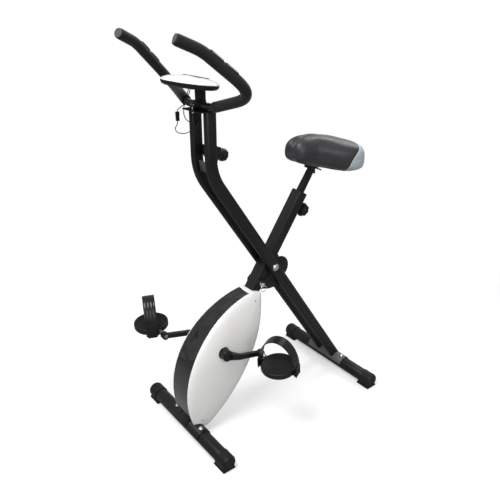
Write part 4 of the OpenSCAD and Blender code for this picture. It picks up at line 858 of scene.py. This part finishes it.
def makePanels(pad):
    s = saddle
    skin = newObject("saddleCorners", pad.data.copy(), "vinylGrey")
    for v, normal in zip(skin.data.vertices, [v.normal.copy() for v in pad.data.vertices]):
        v.co += normal * s["panelLift"] * mm
    curve = panelPoints(20)
    corners = [(s["noseX"] - p.x, p.y) for p in curve] + [(s["noseX"] - 300, 819), (s["noseX"] - 300, 737)]
    bm = bmesh.new()
    joinRings(bm, [[bm.verts.new((x * mm, y * mm, z * mm)) for x, z in corners] for y in (s["panelFrom"], 130)])
    mirrored(bm)
    cutter = drawn(bm, "panelCutter", "vinylGrey")
    carve(skin, cutter, "INTERSECT")
    carve(skin, pad)
    settle(skin, 40)
    bpy.data.objects.remove(cutter)
    skin.data.materials.clear()
    skin.data.materials.append(finishes["vinylGrey"])
    fit(skin, "saddle_corners")
    tree = BVHTree.FromPolygons([v.co for v in pad.data.vertices], [list(p.vertices) for p in pad.data.polygons])
    bm = bmesh.new()
    for side in (1, -1):
        hits = [tree.ray_cast(Vector(((s["noseX"] - p.x) * mm, side * 0.2, p.y * mm)), Vector((0, -side, 0)))[0]
                for p in panelPoints(60)]
        line = [h for h in hits if h]
        back = [tree.ray_cast(Vector((-0.5, side * s["panelFrom"] * mm, z * mm)), Vector((1, 0, 0)))[0]
                for z in range(745, 803, 3)]
        for run in (line, [h for h in back if h]):
            addSweep(bm, run, circle(s["pipe"] * mm, 8), (0.2, 0.3, 1))
    extra(bm, "saddlePiping", "piping", "saddle_corners")


pad = makeSaddle()
makePanels(pad)
fit(pad, "saddle_pad")


def makeSaddleBase():  # shallow tray under the pad, a little inside its edge
    s = saddle
    bm = bmesh.new()
    rings = []
    for place in [18.0] + [6.0 * i for i in range(4, 35)] + [208.0]:
        half, low, _ = between(stations, place)
        inset = s["baseInset"] - 7 * max(0.0, 1 - place / 60)
        w, z0, z1 = half - inset, low - s["baseDrop"], low + 5
        shape = ((1, z1), (1, z0 + 1.6), (0.985, z0 + 0.5), (0.95, z0), (-0.95, z0), (-0.985, z0 + 0.5),
                 (-1, z0 + 1.6), (-1, z1))
        rings.append([bm.verts.new(((s["noseX"] - place) * mm, w * k * mm, z * mm)) for k, z in shape])
    joinRings(bm, rings)
    addBox(bm, s["baseBlock"], shiftBy(*s["baseBlockAt"]), 2)
    piece(bm, "saddleBase", "mouldedBlack", "saddle_base")


makeSaddleBase()
print("saddle done")


# knobs and the ring of the lock pin

def addLobed(bm, profile, place, lobes, depth, lift=0.0, sides=96):  # rows of radius, height, share of the lobes
    rings = []
    for radius, height, share in profile:
        radius, height = radius * mm, (height + lift) * mm
        ring = []
        for i in range(sides if radius > 1e-6 else 1):
            t = 2 * pi * i / sides
            r = radius * (1 - depth * share * (0.5 - 0.5 * cos(lobes * t)) ** 0.6)
            ring.append(bm.verts.new(place @ Vector((r * cos(t), r * sin(t), height))))
        rings.append(ring)
    joinRings(bm, rings)


knobBase = Vector((-120.88, 0, 640.59)) * mm
seatKnob = dict(lobes=8, depth=0.11, lift=18.8, profile=(
    (0, 5.7, 0), (7.8, 5.7, 0), (7.8, 12.0, 0), (12.5, 14.0, 0), (16.0, 15.5, 0.4), (19.5, 18.0, 0.8),
    (21.2, 21.5, 1), (21.4, 26.0, 1), (21.0, 30.5, 1), (19.4, 34.2, 0.9), (16.4, 36.6, 0.5), (14.6, 37.2, 0.2),
    (13.6, 36.4, 0), (13.2, 34.6, 0), (6.0, 34.0, 0), (5.2, 35.4, 0), (0, 35.6, 0)))
bm = bmesh.new()
place = placeAt(knobBase, tubeBack)
addLobed(bm, seatKnob["profile"], place, seatKnob["lobes"], seatKnob["depth"], seatKnob["lift"])
addLathe(bm, [(0, 6.6), (3.9, 6.6), (4.0, 7.0), (4.0, 27), (0, 27)], place, 28)
piece(bm, "seatKnob", "mouldedBlack", "seat_knob")

tensionKnob = dict(lobes=8, depth=0.1, profile=(
    (0, 0.3, 0), (13.4, 0.3, 0), (14.8, 1.0, 0.6), (16.5, 2.8, 1), (16.8, 9.0, 1), (16.5, 14.6, 1),
    (15.4, 17.0, 0.9), (13.8, 17.9, 0.6), (11.6, 17.9, 0.2), (10.8, 17.0, 0), (10.4, 16.0, 0), (0, 15.8, 0)))
bm = bmesh.new()
place = placeAt(knobAt + knobAxis * 7.3 * mm, knobAxis)
addLobed(bm, tensionKnob["profile"], place, tensionKnob["lobes"], tensionKnob["depth"])
piece(bm, "tensionKnob", "mouldedBlack", "tension_knob")

ring = dict(radius=10.0, wire=1.1)
bm = bmesh.new()
addLathe(bm, wireLoop(ring["radius"], ring["wire"], 14),
         Matrix.Translation(ringAt - Vector((0, 0, ring["radius"] * mm))) @ Matrix.Rotation(pi / 2, 4, "X"),
         56, loop=True)
piece(bm, "pinRing", "zinc", "pin_ring", angle=60)
print("knobs done")


# handlebar with foam grips, end discs and pulse plates

bar = dict(radius=9.5, foam=12.9, foamFrom=62.0, cuts=(22, 62, 18), end=3.0, plate=37.0, plateHalf=48.0,
           plateRise=2.3, plateBase=13.15, plateInner=12.6, places=(0.2, 0.47))
barMid = Vector((198.778, 0, 965.0))
barSide = Vector((198.778, 52, 965.0))
barCorner = Vector((170.778, 187, 1005.0))
barKnee = Vector((280.978, 145, 1103.0))
barEnd = Vector((331.778, 127, 1126.5))
halfBar = bent([barMid, barSide, barCorner, barKnee, barEnd], bar["cuts"], 12)


def scaled(points, side=1):
    return [Vector((p.x * mm, side * p.y * mm, p.z * mm)) for p in points]


bm = bmesh.new()
whole = scaled(halfBar[:0:-1], -1) + scaled(halfBar)
addSweep(bm, spaced(whole, 0.008), circle((bar["radius"] - 0.05) * mm, 28), (-0.6, 0.15, 0.8))
piece(bm, "handlebar", "barPaint", "handlebar", angle=50)

foamLine = [p for p in halfBar if p.y > bar["foamFrom"]]
first = halfBar[len(halfBar) - len(foamLine) - 1]
foamLine = [first.lerp(foamLine[0], 0.25)] + foamLine
bm = bmesh.new()
for side in (1, -1):
    line = spaced(scaled(foamLine, side), 0.005)
    rolls = (0.84, 0.92, 0.97)
    head, tail = line[0], line[-1]
    ahead, back = (line[1] - head).normalized(), (line[-2] - tail).normalized()
    line = [head, head + ahead * 0.0006, head + ahead * 0.0018] + line[1:-1] + [
        tail + back * 0.0018, tail + back * 0.0006, tail]
    sizes = [*rolls] + [1.0] * (len(line) - 6) + [*rolls[::-1]]
    addSweep(bm, line, circle(bar["foam"] * mm, 32), (-0.6, 0.15, 0.8), sizes)
grips = piece(bm, "foamGrips", "foamBlack", "foam_grips", angle=50)

bm = bmesh.new()
ahead = (barEnd - barKnee).normalized()
addLathe(bm, ((0, 0.05), (11.2, 0.05), (11.5, 0.4), (11.5, 1.6), (11.1, 2.6), (10.2, 3.3), (9.0, 3.5),
              (8.2, 3.3), (7.6, 2.7), (0, 2.5)), placeAt(barEnd * mm, ahead), 40)
mirrored(bm)
piece(bm, "barEndPlugs", "foamEnd", "bar_end_plugs")

bm = bmesh.new()
down = (barCorner - barKnee).normalized()
for t in bar["places"]:
    at = barKnee.lerp(barCorner, t)
    frameX = (Matrix.Rotation(atan2(down.y, down.x), 3, "Z") @ Matrix.Rotation(math.acos(down.z), 3, "Y")
              @ Matrix.Rotation(pi, 3, "Z"))
    outer = []
    for i in range(15):
        u = 2 * i / 14 - 1
        rowOut, rowIn = [], []
        for k in range(17):
            w = 2 * k / 16 - 1
            v = (1 - abs(u) ** 5) * (1 - abs(w) ** 5)
            angle = radians(bar["plateHalf"]) * w * (1 - 0.12 * abs(u) ** 4)
            r = bar["plateBase"] + (bar["plateRise"] - 0.1) * v ** 0.35
            along = bar["plate"] / 2 * u * (1 - 0.1 * abs(w) ** 4)
            rowOut.append(bm.verts.new((at + frameX @ Vector((r * cos(angle), r * sin(angle), along))) * mm))
            r = bar["plateInner"]
            rowIn.append(bm.verts.new((at + frameX @ Vector((r * cos(angle), r * sin(angle), along))) * mm))
        outer.append(rowOut + rowIn[::-1])
    joinRings(bm, outer)
mirrored(bm)
piece(bm, "pulseSensors", "sensorPlate", "pulse_sensors", angle=60)
print("handlebar done")


# pedals, toe straps and their small lenses

pedal = dict(middleY=172.0, axle=6.2, bore=(-60.0, 43.0), lug=(24.0, 6.6), lugZ=-5.5, turn=25.0,
             lugSpan=(51.4, 8.4), pitch={"left": 4.0, "right": 2.0},
             stud=((0, -0.4), (2.7, -0.4), (2.4, 1.5), (1.6, 2.2), (0, 2.3)), studHeight=8.0,
             studRings=((12, 6), (22, 11), (32.5, 16), (42, 22)),
             profile=((0, -9.9), (42, -9.9), (46, -9.6), (48.6, -8.6), (50.3, -6.6), (51.5, -4.4), (51.7, 5.8),
                      (51.3, 7.6), (50.3, 8.9), (48.8, 9.6), (47.2, 9.5), (46.6, 8.6), (46.0, 8.2), (17.4, 8.2),
                      (16.8, 9.0), (15.4, 9.0), (14.8, 8.2), (0, 8.2)))
strap = dict(half=57.2, low=-8.9, spring=8.0, rise=85.1, width=18.0, thick=1.15, ribs=4, ribDepth=0.9,
             tab=(28.0, 1.6, 31.6), tabAt=(59.0, 3.0), rungs=6, rungPitch=5.2, rungSize=(1.7, 1.9))
lens = dict(size=(15.8, 5.8, 4.7), z=-12.5, at=46.0)


def pedalPlace(side, turned=0.0):
    y = pedal["middleY"] * mm * (1 if side == "left" else -1)
    at = pedalAt[side]
    return (Matrix.Translation((at.x, y, at.z)) @ Matrix.Rotation(radians(pedal["pitch"][side]), 4, "Y")
            @ Matrix.Rotation(radians(turned), 4, "Z"))


def makePedal(side, turn):
    p, place = pedal, pedalPlace(side)
    bm = bmesh.new()
    addLathe(bm, p["profile"], place, 80)
    body = drawn(bm, side + "Pedal", "pedalBlack", 35)
    bm = bmesh.new()
    way = 1 if side == "left" else -1
    addLathe(bm, [(p["axle"], way * t) for t in p["bore"]], place @ Matrix.Rotation(-pi / 2, 4, "X"), 40)
    cutter = drawn(bm, "boreCutter", "pedalBlack")
    carve(body, cutter)
    settle(body, 35)
    bpy.data.objects.remove(cutter)
    fit(body, side + "_pedal")
    bm = bmesh.new()
    for end in (-1, 1):
        block = pedalPlace(side, turn) @ shiftBy(0, end * p["lugSpan"][0], p["lugZ"])
        addBox(bm, (p["lug"][0], p["lugSpan"][1], p["lug"][1]), block, 1.4)
    extra(bm, side + "PedalLug", "pedalBlack", side + "_pedal")
    spots = []
    for k, (radius, count) in enumerate(p["studRings"]):
        for i in range(count):
            a = 2 * pi * (i + 0.5 * (k % 2)) / count
            spots.append((place @ Vector((radius * cos(a) * mm, radius * sin(a) * mm, p["studHeight"] * mm)),
                          place.to_3x3() @ Vector((0, 0, 1))))
    stud = bmesh.new()
    addLathe(stud, p["stud"], Matrix.Identity(4), 10)
    fitExtra(scattered(side + "PedalStuds", spots, stud, "pedalBlack", jitter=0.06, seed=5), side + "_pedal")


def makeStrap(side, turn):
    s, place = strap, pedalPlace(side, turn)
    path = [(-s["half"], s["low"] + (s["spring"] - s["low"]) * i / 4, (-1.0, 0.0)) for i in range(4)]
    for i in range(49):
        a = pi - pi * i / 48
        way = Vector((s["rise"] * cos(a), s["half"] * sin(a))).normalized()
        path.append((s["half"] * cos(a), s["spring"] + s["rise"] * sin(a), tuple(way)))
    path += [(s["half"], s["spring"] - (s["spring"] - s["low"]) * i / 4, (1.0, 0.0)) for i in range(1, 5)]
    section = []
    count = s["ribs"] * 4
    for i in range(count + 1):  # outer face with shallow grooves, then the flat inner face
        u = 2 * i / count - 1
        dip = s["ribDepth"] if 2 <= i % 4 < 4 and 0 < i < count else 0.0
        section.append((u * (s["width"] - (0.5 if i in (0, count) else 0.0)), s["thick"] - dip
                        - (0.5 if i in (0, count) else 0.0)))
    wide, thick = s["width"], s["thick"]
    section += [(wide, 0.0), (wide - 0.5, -thick), (0.5 - wide, -thick), (-wide, 0.0)]
    bm = bmesh.new()
    rings = []
    for y, z, (ny, nz) in path:
        rings.append([bm.verts.new(place @ Vector((u * mm, (y + v * ny) * mm, (z + v * nz) * mm)))
                      for u, v in section])
    joinRings(bm, rings)
    for end in (-1, 1):
        w, t, tall = s["tab"]
        at, z = s["tabAt"]
        tab = place @ shiftBy(0, end * at, z)
        addBox(bm, (w, t, tall), tab, 0.6, 2)
        for k in range(s["rungs"]):
            rungZ = z + (k - (s["rungs"] - 1) / 2) * s["rungPitch"]
            addBox(bm, (w - 5, *s["rungSize"]), place @ shiftBy(0, end * (at + 1.3), rungZ), 0.45, 2)
        for edge in (-1, 1):
            rail = place @ shiftBy(edge * (w / 2 - 1.2), end * (at + 1.2), z)
            addBox(bm, (2.0, 1.8, tall - 1), rail, 0.45, 2)
    piece(bm, side + "Strap", "strapBlack", side + "_strap", angle=30)


for side, way in (("left", 1), ("right", -1)):
    makePedal(side, way * pedal["turn"])
    makeStrap(side, way * pedal["turn"])
    bm = bmesh.new()
    block = pedalPlace(side) @ shiftBy(0, -way * lens["at"], lens["z"])
    addBox(bm, lens["size"], block, 0.8)
    piece(bm, side + "Reflectors", "reflectorRed", side + "_reflectors")
print("pedals done")


# console: white cover on a black bowl, display with digits, button

console = dict(at=(222.778, 0.0, 1021.0), tilt=8.5, halfX=65.0, halfY=80.0, rise=15.0, wall=2.5,
               display=(34.0, 60.0), displayX=-16.0, displayTop=12.6, displayTilt=3.5, corner=5.0,
               window=(21.0, 46.0), buttonX=-43.0, buttonHole=5.3, bezel=(40.0, 66.0, 1.6),
               bowl=((0.6, -0.2), (0.0, -0.7), (0.1, -3.0), (0.8, -5.6), (2.4, -8.2), (5.4, -10.2), (10.0, -11.5),
                     (16.0, -12.1), (36.0, -12.1)))
consoleTurn = Matrix.Rotation(radians(-console["tilt"]), 4, "Y")
consolePlace = Matrix.Translation(Vector(console["at"]) * mm) @ consoleTurn
displayPlace = (consolePlace @ shiftBy(console["displayX"], 0, console["displayTop"])
                @ Matrix.Rotation(radians(-console["displayTilt"]), 4, "Y"))


def ovalRing(bm, place, rx, ry, z, sides=96):
    return [bm.verts.new(place @ Vector((rx * cos(a) * mm, ry * sin(a) * mm, z * mm)))
            for a in (2 * pi * i / sides for i in range(sides))]


def panel(bm, place, size, low, high, corner, roll=0.3, steps=6):  # slab with rounded corners in plan
    def ring(inset, z):
        out = []
        for k, (sx, sy) in enumerate(((1, 1), (-1, 1), (-1, -1), (1, -1))):
            r = corner - inset
            for i in range(steps + 1):
                a = pi / 2 * (k + i / steps)
                out.append(bm.verts.new(place @ Vector(((sx * (size[0] / 2 - corner) + r * cos(a)) * mm,
                                                        (sy * (size[1] / 2 - corner) + r * sin(a)) * mm, z * mm))))
        return out
    joinRings(bm, [ring(0, low), ring(0, high - roll), ring(roll * 0.3, high - roll * 0.3), ring(roll, high)])


c = console
bm = bmesh.new()
turns = [radians(90) * k / 22 for k in range(22)]
outer = [ovalRing(bm, consolePlace, c["halfX"] * cos(a), c["halfY"] * cos(a), 0.05 + c["rise"] * sin(a))
         for a in turns]
outer.append([bm.verts.new(consolePlace @ Vector((0, 0, (0.05 + c["rise"]) * mm)))])
inner = [ovalRing(bm, consolePlace, (c["halfX"] - c["wall"]) * cos(a), (c["halfY"] - c["wall"]) * cos(a),
                  0.05 + (c["rise"] - c["wall"]) * sin(a)) for a in turns]
inner.append([bm.verts.new(consolePlace @ Vector((0, 0, (c["rise"] - c["wall"]) * mm)))])
joinRings(bm, outer, caps=False)
joinRings(bm, inner, caps=False)
joinRings(bm, [outer[0], inner[0]], caps=False)
cover = drawn(bm, "consoleCover", "consoleWhite", 40)
bm = bmesh.new()
panel(bm, displayPlace, (c["display"][0] + 0.6, c["display"][1] + 0.6), -9, 9, c["corner"], 0.01)
addLathe(bm, [(c["buttonHole"], -15), (c["buttonHole"], 20)],
         consolePlace @ shiftBy(c["buttonX"], 0, 0), 40)
cutter = drawn(bm, "consoleCutter", "consoleWhite")
carve(cover, cutter)
rollEdges(cover, 0.6 * mm, 3, 50)
settle(cover, 40)
bpy.data.objects.remove(cutter)
fit(cover, "console_cover")

bm = bmesh.new()
bowl = [ovalRing(bm, consolePlace, c["halfX"] - inset, c["halfY"] - inset, z) for inset, z in c["bowl"]]
inside = [ovalRing(bm, consolePlace, c["halfX"] - 3 - inset, c["halfY"] - 3 - inset, z * 0.8)
          for inset, z in c["bowl"]]
joinRings(bm, bowl[::-1] + inside)
for x, y in ((-12, -14), (-4, -10)):
    addLathe(bm, wireLoop(2.4, 0.8, 10), consolePlace @ shiftBy(x, y, -11.5), 24, loop=True)
piece(bm, "consoleBase", "mouldedBlack", "console_base", angle=50)

bm = bmesh.new()
panel(bm, displayPlace, c["display"], -2.9, c["bezel"][2], c["corner"], 0.6)
panel(bm, displayPlace, c["bezel"][:2], 0.9, c["bezel"][2] + 0.5, 7.0, 1.0)
piece(bm, "consoleDisplay", "displayGlass", "console_display")
displayPlace = displayPlace @ shiftBy(0, 0, c["bezel"][2] + 0.6)
bm = bmesh.new()
panel(bm, displayPlace, c["window"], -0.3, -0.05, 1.6, 0.02)
extra(bm, "displayWindow", "liquidCrystal", "console_display")


def addDigit(bm, place, value, tall=15.0, wide=7.6, thick=1.15):  # seven bars, reading towards +X
    lit = {0: "abcdef", 1: "bc", 2: "abged", 3: "abgcd", 5: "afgcd", 8: "abcdefg"}[value]
    bars = {"a": (tall / 2, 0, 1), "g": (0, 0, 1), "d": (-tall / 2, 0, 1), "b": (tall / 4, -wide / 2, 0),
            "c": (-tall / 4, -wide / 2, 0), "f": (tall / 4, wide / 2, 0), "e": (-tall / 4, wide / 2, 0)}
    for name in lit:
        x, y, flat = bars[name]
        size = (thick, wide - 1.4, 0.12) if flat else (tall / 2 - 1.2, thick, 0.12)
        addBox(bm, size, place @ shiftBy(x, y, 0), 0.04, 1)


bm = bmesh.new()
for k, value in enumerate((0, 0, 5, 8)):
    y = (1.5 - k) * 9.8 + (1.3 if k < 2 else -1.3)
    addDigit(bm, displayPlace @ shiftBy(-0.5, y, 0), value)
for x in (-2.6, 2.6):
    addBox(bm, (1.2, 1.2, 0.12), displayPlace @ shiftBy(x, 0, 0), 0.04, 1)
extra(bm, "displayDigits", "segmentInk", "console_display")

bm = bmesh.new()
addLathe(bm, ((0, -0.1), (2.9, -0.1), (2.9, 4.6), (6.4, 4.6), (6.4, 6.2), (4.9, 6.4), (4.9, 11.0), (4.7, 11.7),
              (4.1, 12.1), (3.0, 12.1), (1.6, 11.8), (0, 11.7)),
         consolePlace @ shiftBy(c["buttonX"], 0, 0), 40)
piece(bm, "consoleButton", "mouldedBlack", "console_button")
print("console done")


# thin leads: console to plug, plug to upright, console to upright

leads = dict(
    diameter=2.2, base=(190.778, 0.0, 953.0), plugAt=(25.2, -76, -24), plug=(9, 7, 23.8), hole=(4.2, -34.5),
    toPlug=((21.8, -14, 57), (22, -14.5, 51), (20.7, -24, 37), (19.7, -38, 23), (21.2, -49, 9), (23.2, -60, 1.5),
            (24.7, -70, -4.5), (25.2, -75, -9.5), (25.2, -76, -12.1)),
    fromPlug=((25.2, -76, -35.9), (25.3, -77, -41), (25.5, -81.5, -47.5), (25.5, -87, -53.5), (25.4, -89, -59.5),
              (25.3, -84.5, -64), (25.3, -76, -65.5), (25.2, -64, -65), (25, -52, -63.5), (24.4, -40, -60.5),
              (23, -29, -56), (20.5, -20.5, -51), (16, -14, -46.3), (10.7, -11.5, -42), (6.5, -13.5, -38.7),
              (4.4, -18, -37.1), (4.2, -23, -37), (4.2, -28, -37)),
    straight=((29.4, -10, 58), (30.2, -10.2, 51), (32.7, -14, 37), (35.7, -20, 21), (36.7, -25, 3), (35.8, -27, -10),
              (32, -26, -21.5), (25.5, -21.5, -29), (18, -15.5, -32.3), (11.2, -12, -32.8), (6.5, -13.4, -32.4),
              (4.4, -18, -32), (4.2, -23, -32), (4.2, -28, -32)))
leadBase = Vector(leads["base"])


def throughPoints(points, steps=5):  # a smooth line that passes through every point
    line = []
    for i in range(len(points) - 1):
        p0, p1, p2, p3 = (points[max(0, min(len(points) - 1, k))] for k in (i - 1, i, i + 1, i + 2))
        for t in (k / steps for k in range(steps)):
            line.append(0.5 * (2 * p1 + (p2 - p0) * t + (2 * p0 - 5 * p1 + 4 * p2 - p3) * t * t
                               + (3 * p1 - p0 - 3 * p2 + p3) * t ** 3))
    return line + [points[-1]]


def makeLead(name, points):
    path = throughPoints([(leadBase + Vector(p)) * mm for p in points])
    bm = bmesh.new()
    addSweep(bm, path, circle(leads["diameter"] / 2 * mm, 12), (1, 0, 0.2))
    made = drawn(bm, name, "wireJacket", 60)
    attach(made, bodyOf["console_leads"])
    return made, path, sum((b - a).length for a, b in zip(path, path[1:]))


bm = bmesh.new()
plugPlace = Matrix.Translation((leadBase + Vector(leads["plugAt"])) * mm)
w, d, tall = leads["plug"]
addBox(bm, (w, d, tall * 0.52), plugPlace @ shiftBy(0, 0, tall * 0.23), 1.0)
addBox(bm, (w - 1, d - 0.8, tall * 0.47), plugPlace @ shiftBy(0, 0, -tall * 0.25), 0.9)
for k in range(4):
    addBox(bm, (w, d, 1.0), plugPlace @ shiftBy(0, 0, -3.4 - 2.4 * k), 0.35, 2)
plugPiece = piece(bm, "leadPlug", "mouldedBlack", "lead_plug")
lines = [makeLead(name, leads[key]) for name, key in (("leadToPlug", "toPlug"), ("leadFromPlug", "fromPlug"),
                                                      ("leadStraight", "straight"))]
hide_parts("console_leads")
ends = (("connector", "loose"), ("object", "hanging"), ("object", "loose"))
for (made, path, length), (end, lay) in zip(lines, ends):
    print(made.name, round(length, 4))
bm = bmesh.new()
x, z = leads["hole"]
addLathe(bm, wireLoop(4.9, 0.8, 12), placeAt((leadBase + Vector((x, -23.4, z))) * mm, (0, 1, 0)), 32, loop=True)
extra(bm, "leadGrommet", "beltRubber", "right_upright", angle=60)
print("leads done")


# camera, floor and studio light

floorRadius, floorSides = 60, 64
cameraRight, cameraUp = Vector((-0.7884, 0.6151, 0.0)), Vector((-0.2558, -0.3279, 0.9094))
cameraData = bpy.data.cameras.new("camera")
cameraData.lens, cameraData.sensor_width = 39.95, 36.0
cameraData.clip_end = 200.0
camera = bpy.data.objects.new("camera", cameraData)
camera.matrix_world = (Matrix.Translation((0.9411, 1.1509, 1.2043))
                       @ Matrix((cameraRight, cameraUp, cameraRight.cross(cameraUp))).transposed().to_4x4())
bpy.context.scene.collection.objects.link(camera)
bpy.context.scene.camera = camera

floorMesh = bpy.data.meshes.new("floor")
floorMesh.from_pydata([(floorRadius * cos(a), floorRadius * sin(a), 0)
                       for a in (2 * pi * i / floorSides for i in range(floorSides))], [], [list(range(floorSides))])
floor = bpy.data.objects.new("floor", floorMesh)
bpy.context.scene.collection.objects.link(floor)
paper = bpy.data.materials.new("paper")
paper.use_nodes = True
tree = paper.node_tree
paperShader = tree.nodes["Principled BSDF"]
paperShader.inputs["Roughness"].default_value = 0.75
paperShader.inputs["Specular IOR Level"].default_value = 0.2
rays = tree.nodes.new("ShaderNodeLightPath")
tree.links.new(mixColours(tree, rays.outputs["Is Camera Ray"], (0.3, 0.3, 0.3), (0.95, 0.95, 0.95)),
               paperShader.inputs["Base Color"])
far = addNode(tree, "VectorMath", operation="LENGTH")
tree.links.new(tree.nodes.new("ShaderNodeTexCoord").outputs["Object"], far.inputs[0])
fade = addNode(tree, "MapRange", [("From Min", 0.6), ("From Max", 1.4), ("To Min", 0.3)],
               interpolation_type="SMOOTHSTEP")
wire(far, "Value", fade, "Value")
seen = addNode(tree, "Math", operation="MULTIPLY")
wire(fade, "Result", seen, 0)
wire(rays, "Is Camera Ray", seen, 1)
white = addNode(tree, "Emission", [("Color", (1.0, 1.0, 1.0, 1.0)), ("Strength", 1.0)])
blend = tree.nodes.new("ShaderNodeMixShader")
wire(seen, "Value", blend, 0)
wire(paperShader, 0, blend, 1)
wire(white, 0, blend, 2)
tree.links.new(blend.outputs[0], tree.nodes["Material Output"].inputs["Surface"])
floorMesh.materials.append(paper)

world = bpy.data.worlds.new("studio")
bpy.context.scene.world = world
world.use_nodes = True
tree = world.node_tree
tree.nodes.clear()
rays = tree.nodes.new("ShaderNodeLightPath")
room = addNode(tree, "Background", [("Color", (0.97, 0.98, 1.0, 1.0)), ("Strength", 0.5)])
backdrop = addNode(tree, "Background", [("Color", (1.0, 1.0, 1.0, 1.0)), ("Strength", 1.0)])
choose = tree.nodes.new("ShaderNodeMixShader")
show = tree.nodes.new("ShaderNodeOutputWorld")
wire(rays, "Is Camera Ray", choose, 0)
wire(room, 0, choose, 1)
wire(backdrop, 0, choose, 2)
wire(choose, 0, show, "Surface")

lamps = {
    "keyLamp": dict(at=(1.5, 0.2, 3.0), size=1.5, power=78),
    "fillLamp": dict(at=(0.9, 2.9, 1.9), size=2.0, power=38),
    "rimLamp": dict(at=(-2.1, -0.6, 2.4), size=1.4, power=26),
}
for name, lamp in lamps.items():
    data = bpy.data.lights.new(name, "AREA")
    data.shape, data.size, data.energy = "DISK", lamp["size"], lamp["power"]
    made = bpy.data.objects.new(name, data)
    made.matrix_world = placeAt(lamp["at"], Vector(lamp["at"]) - Vector((0, 0, 0.5)))
    bpy.context.scene.collection.objects.link(made)

bpy.context.scene.view_settings.view_transform = "Standard"

bpy.context.view_layer.update()
print("scene done")
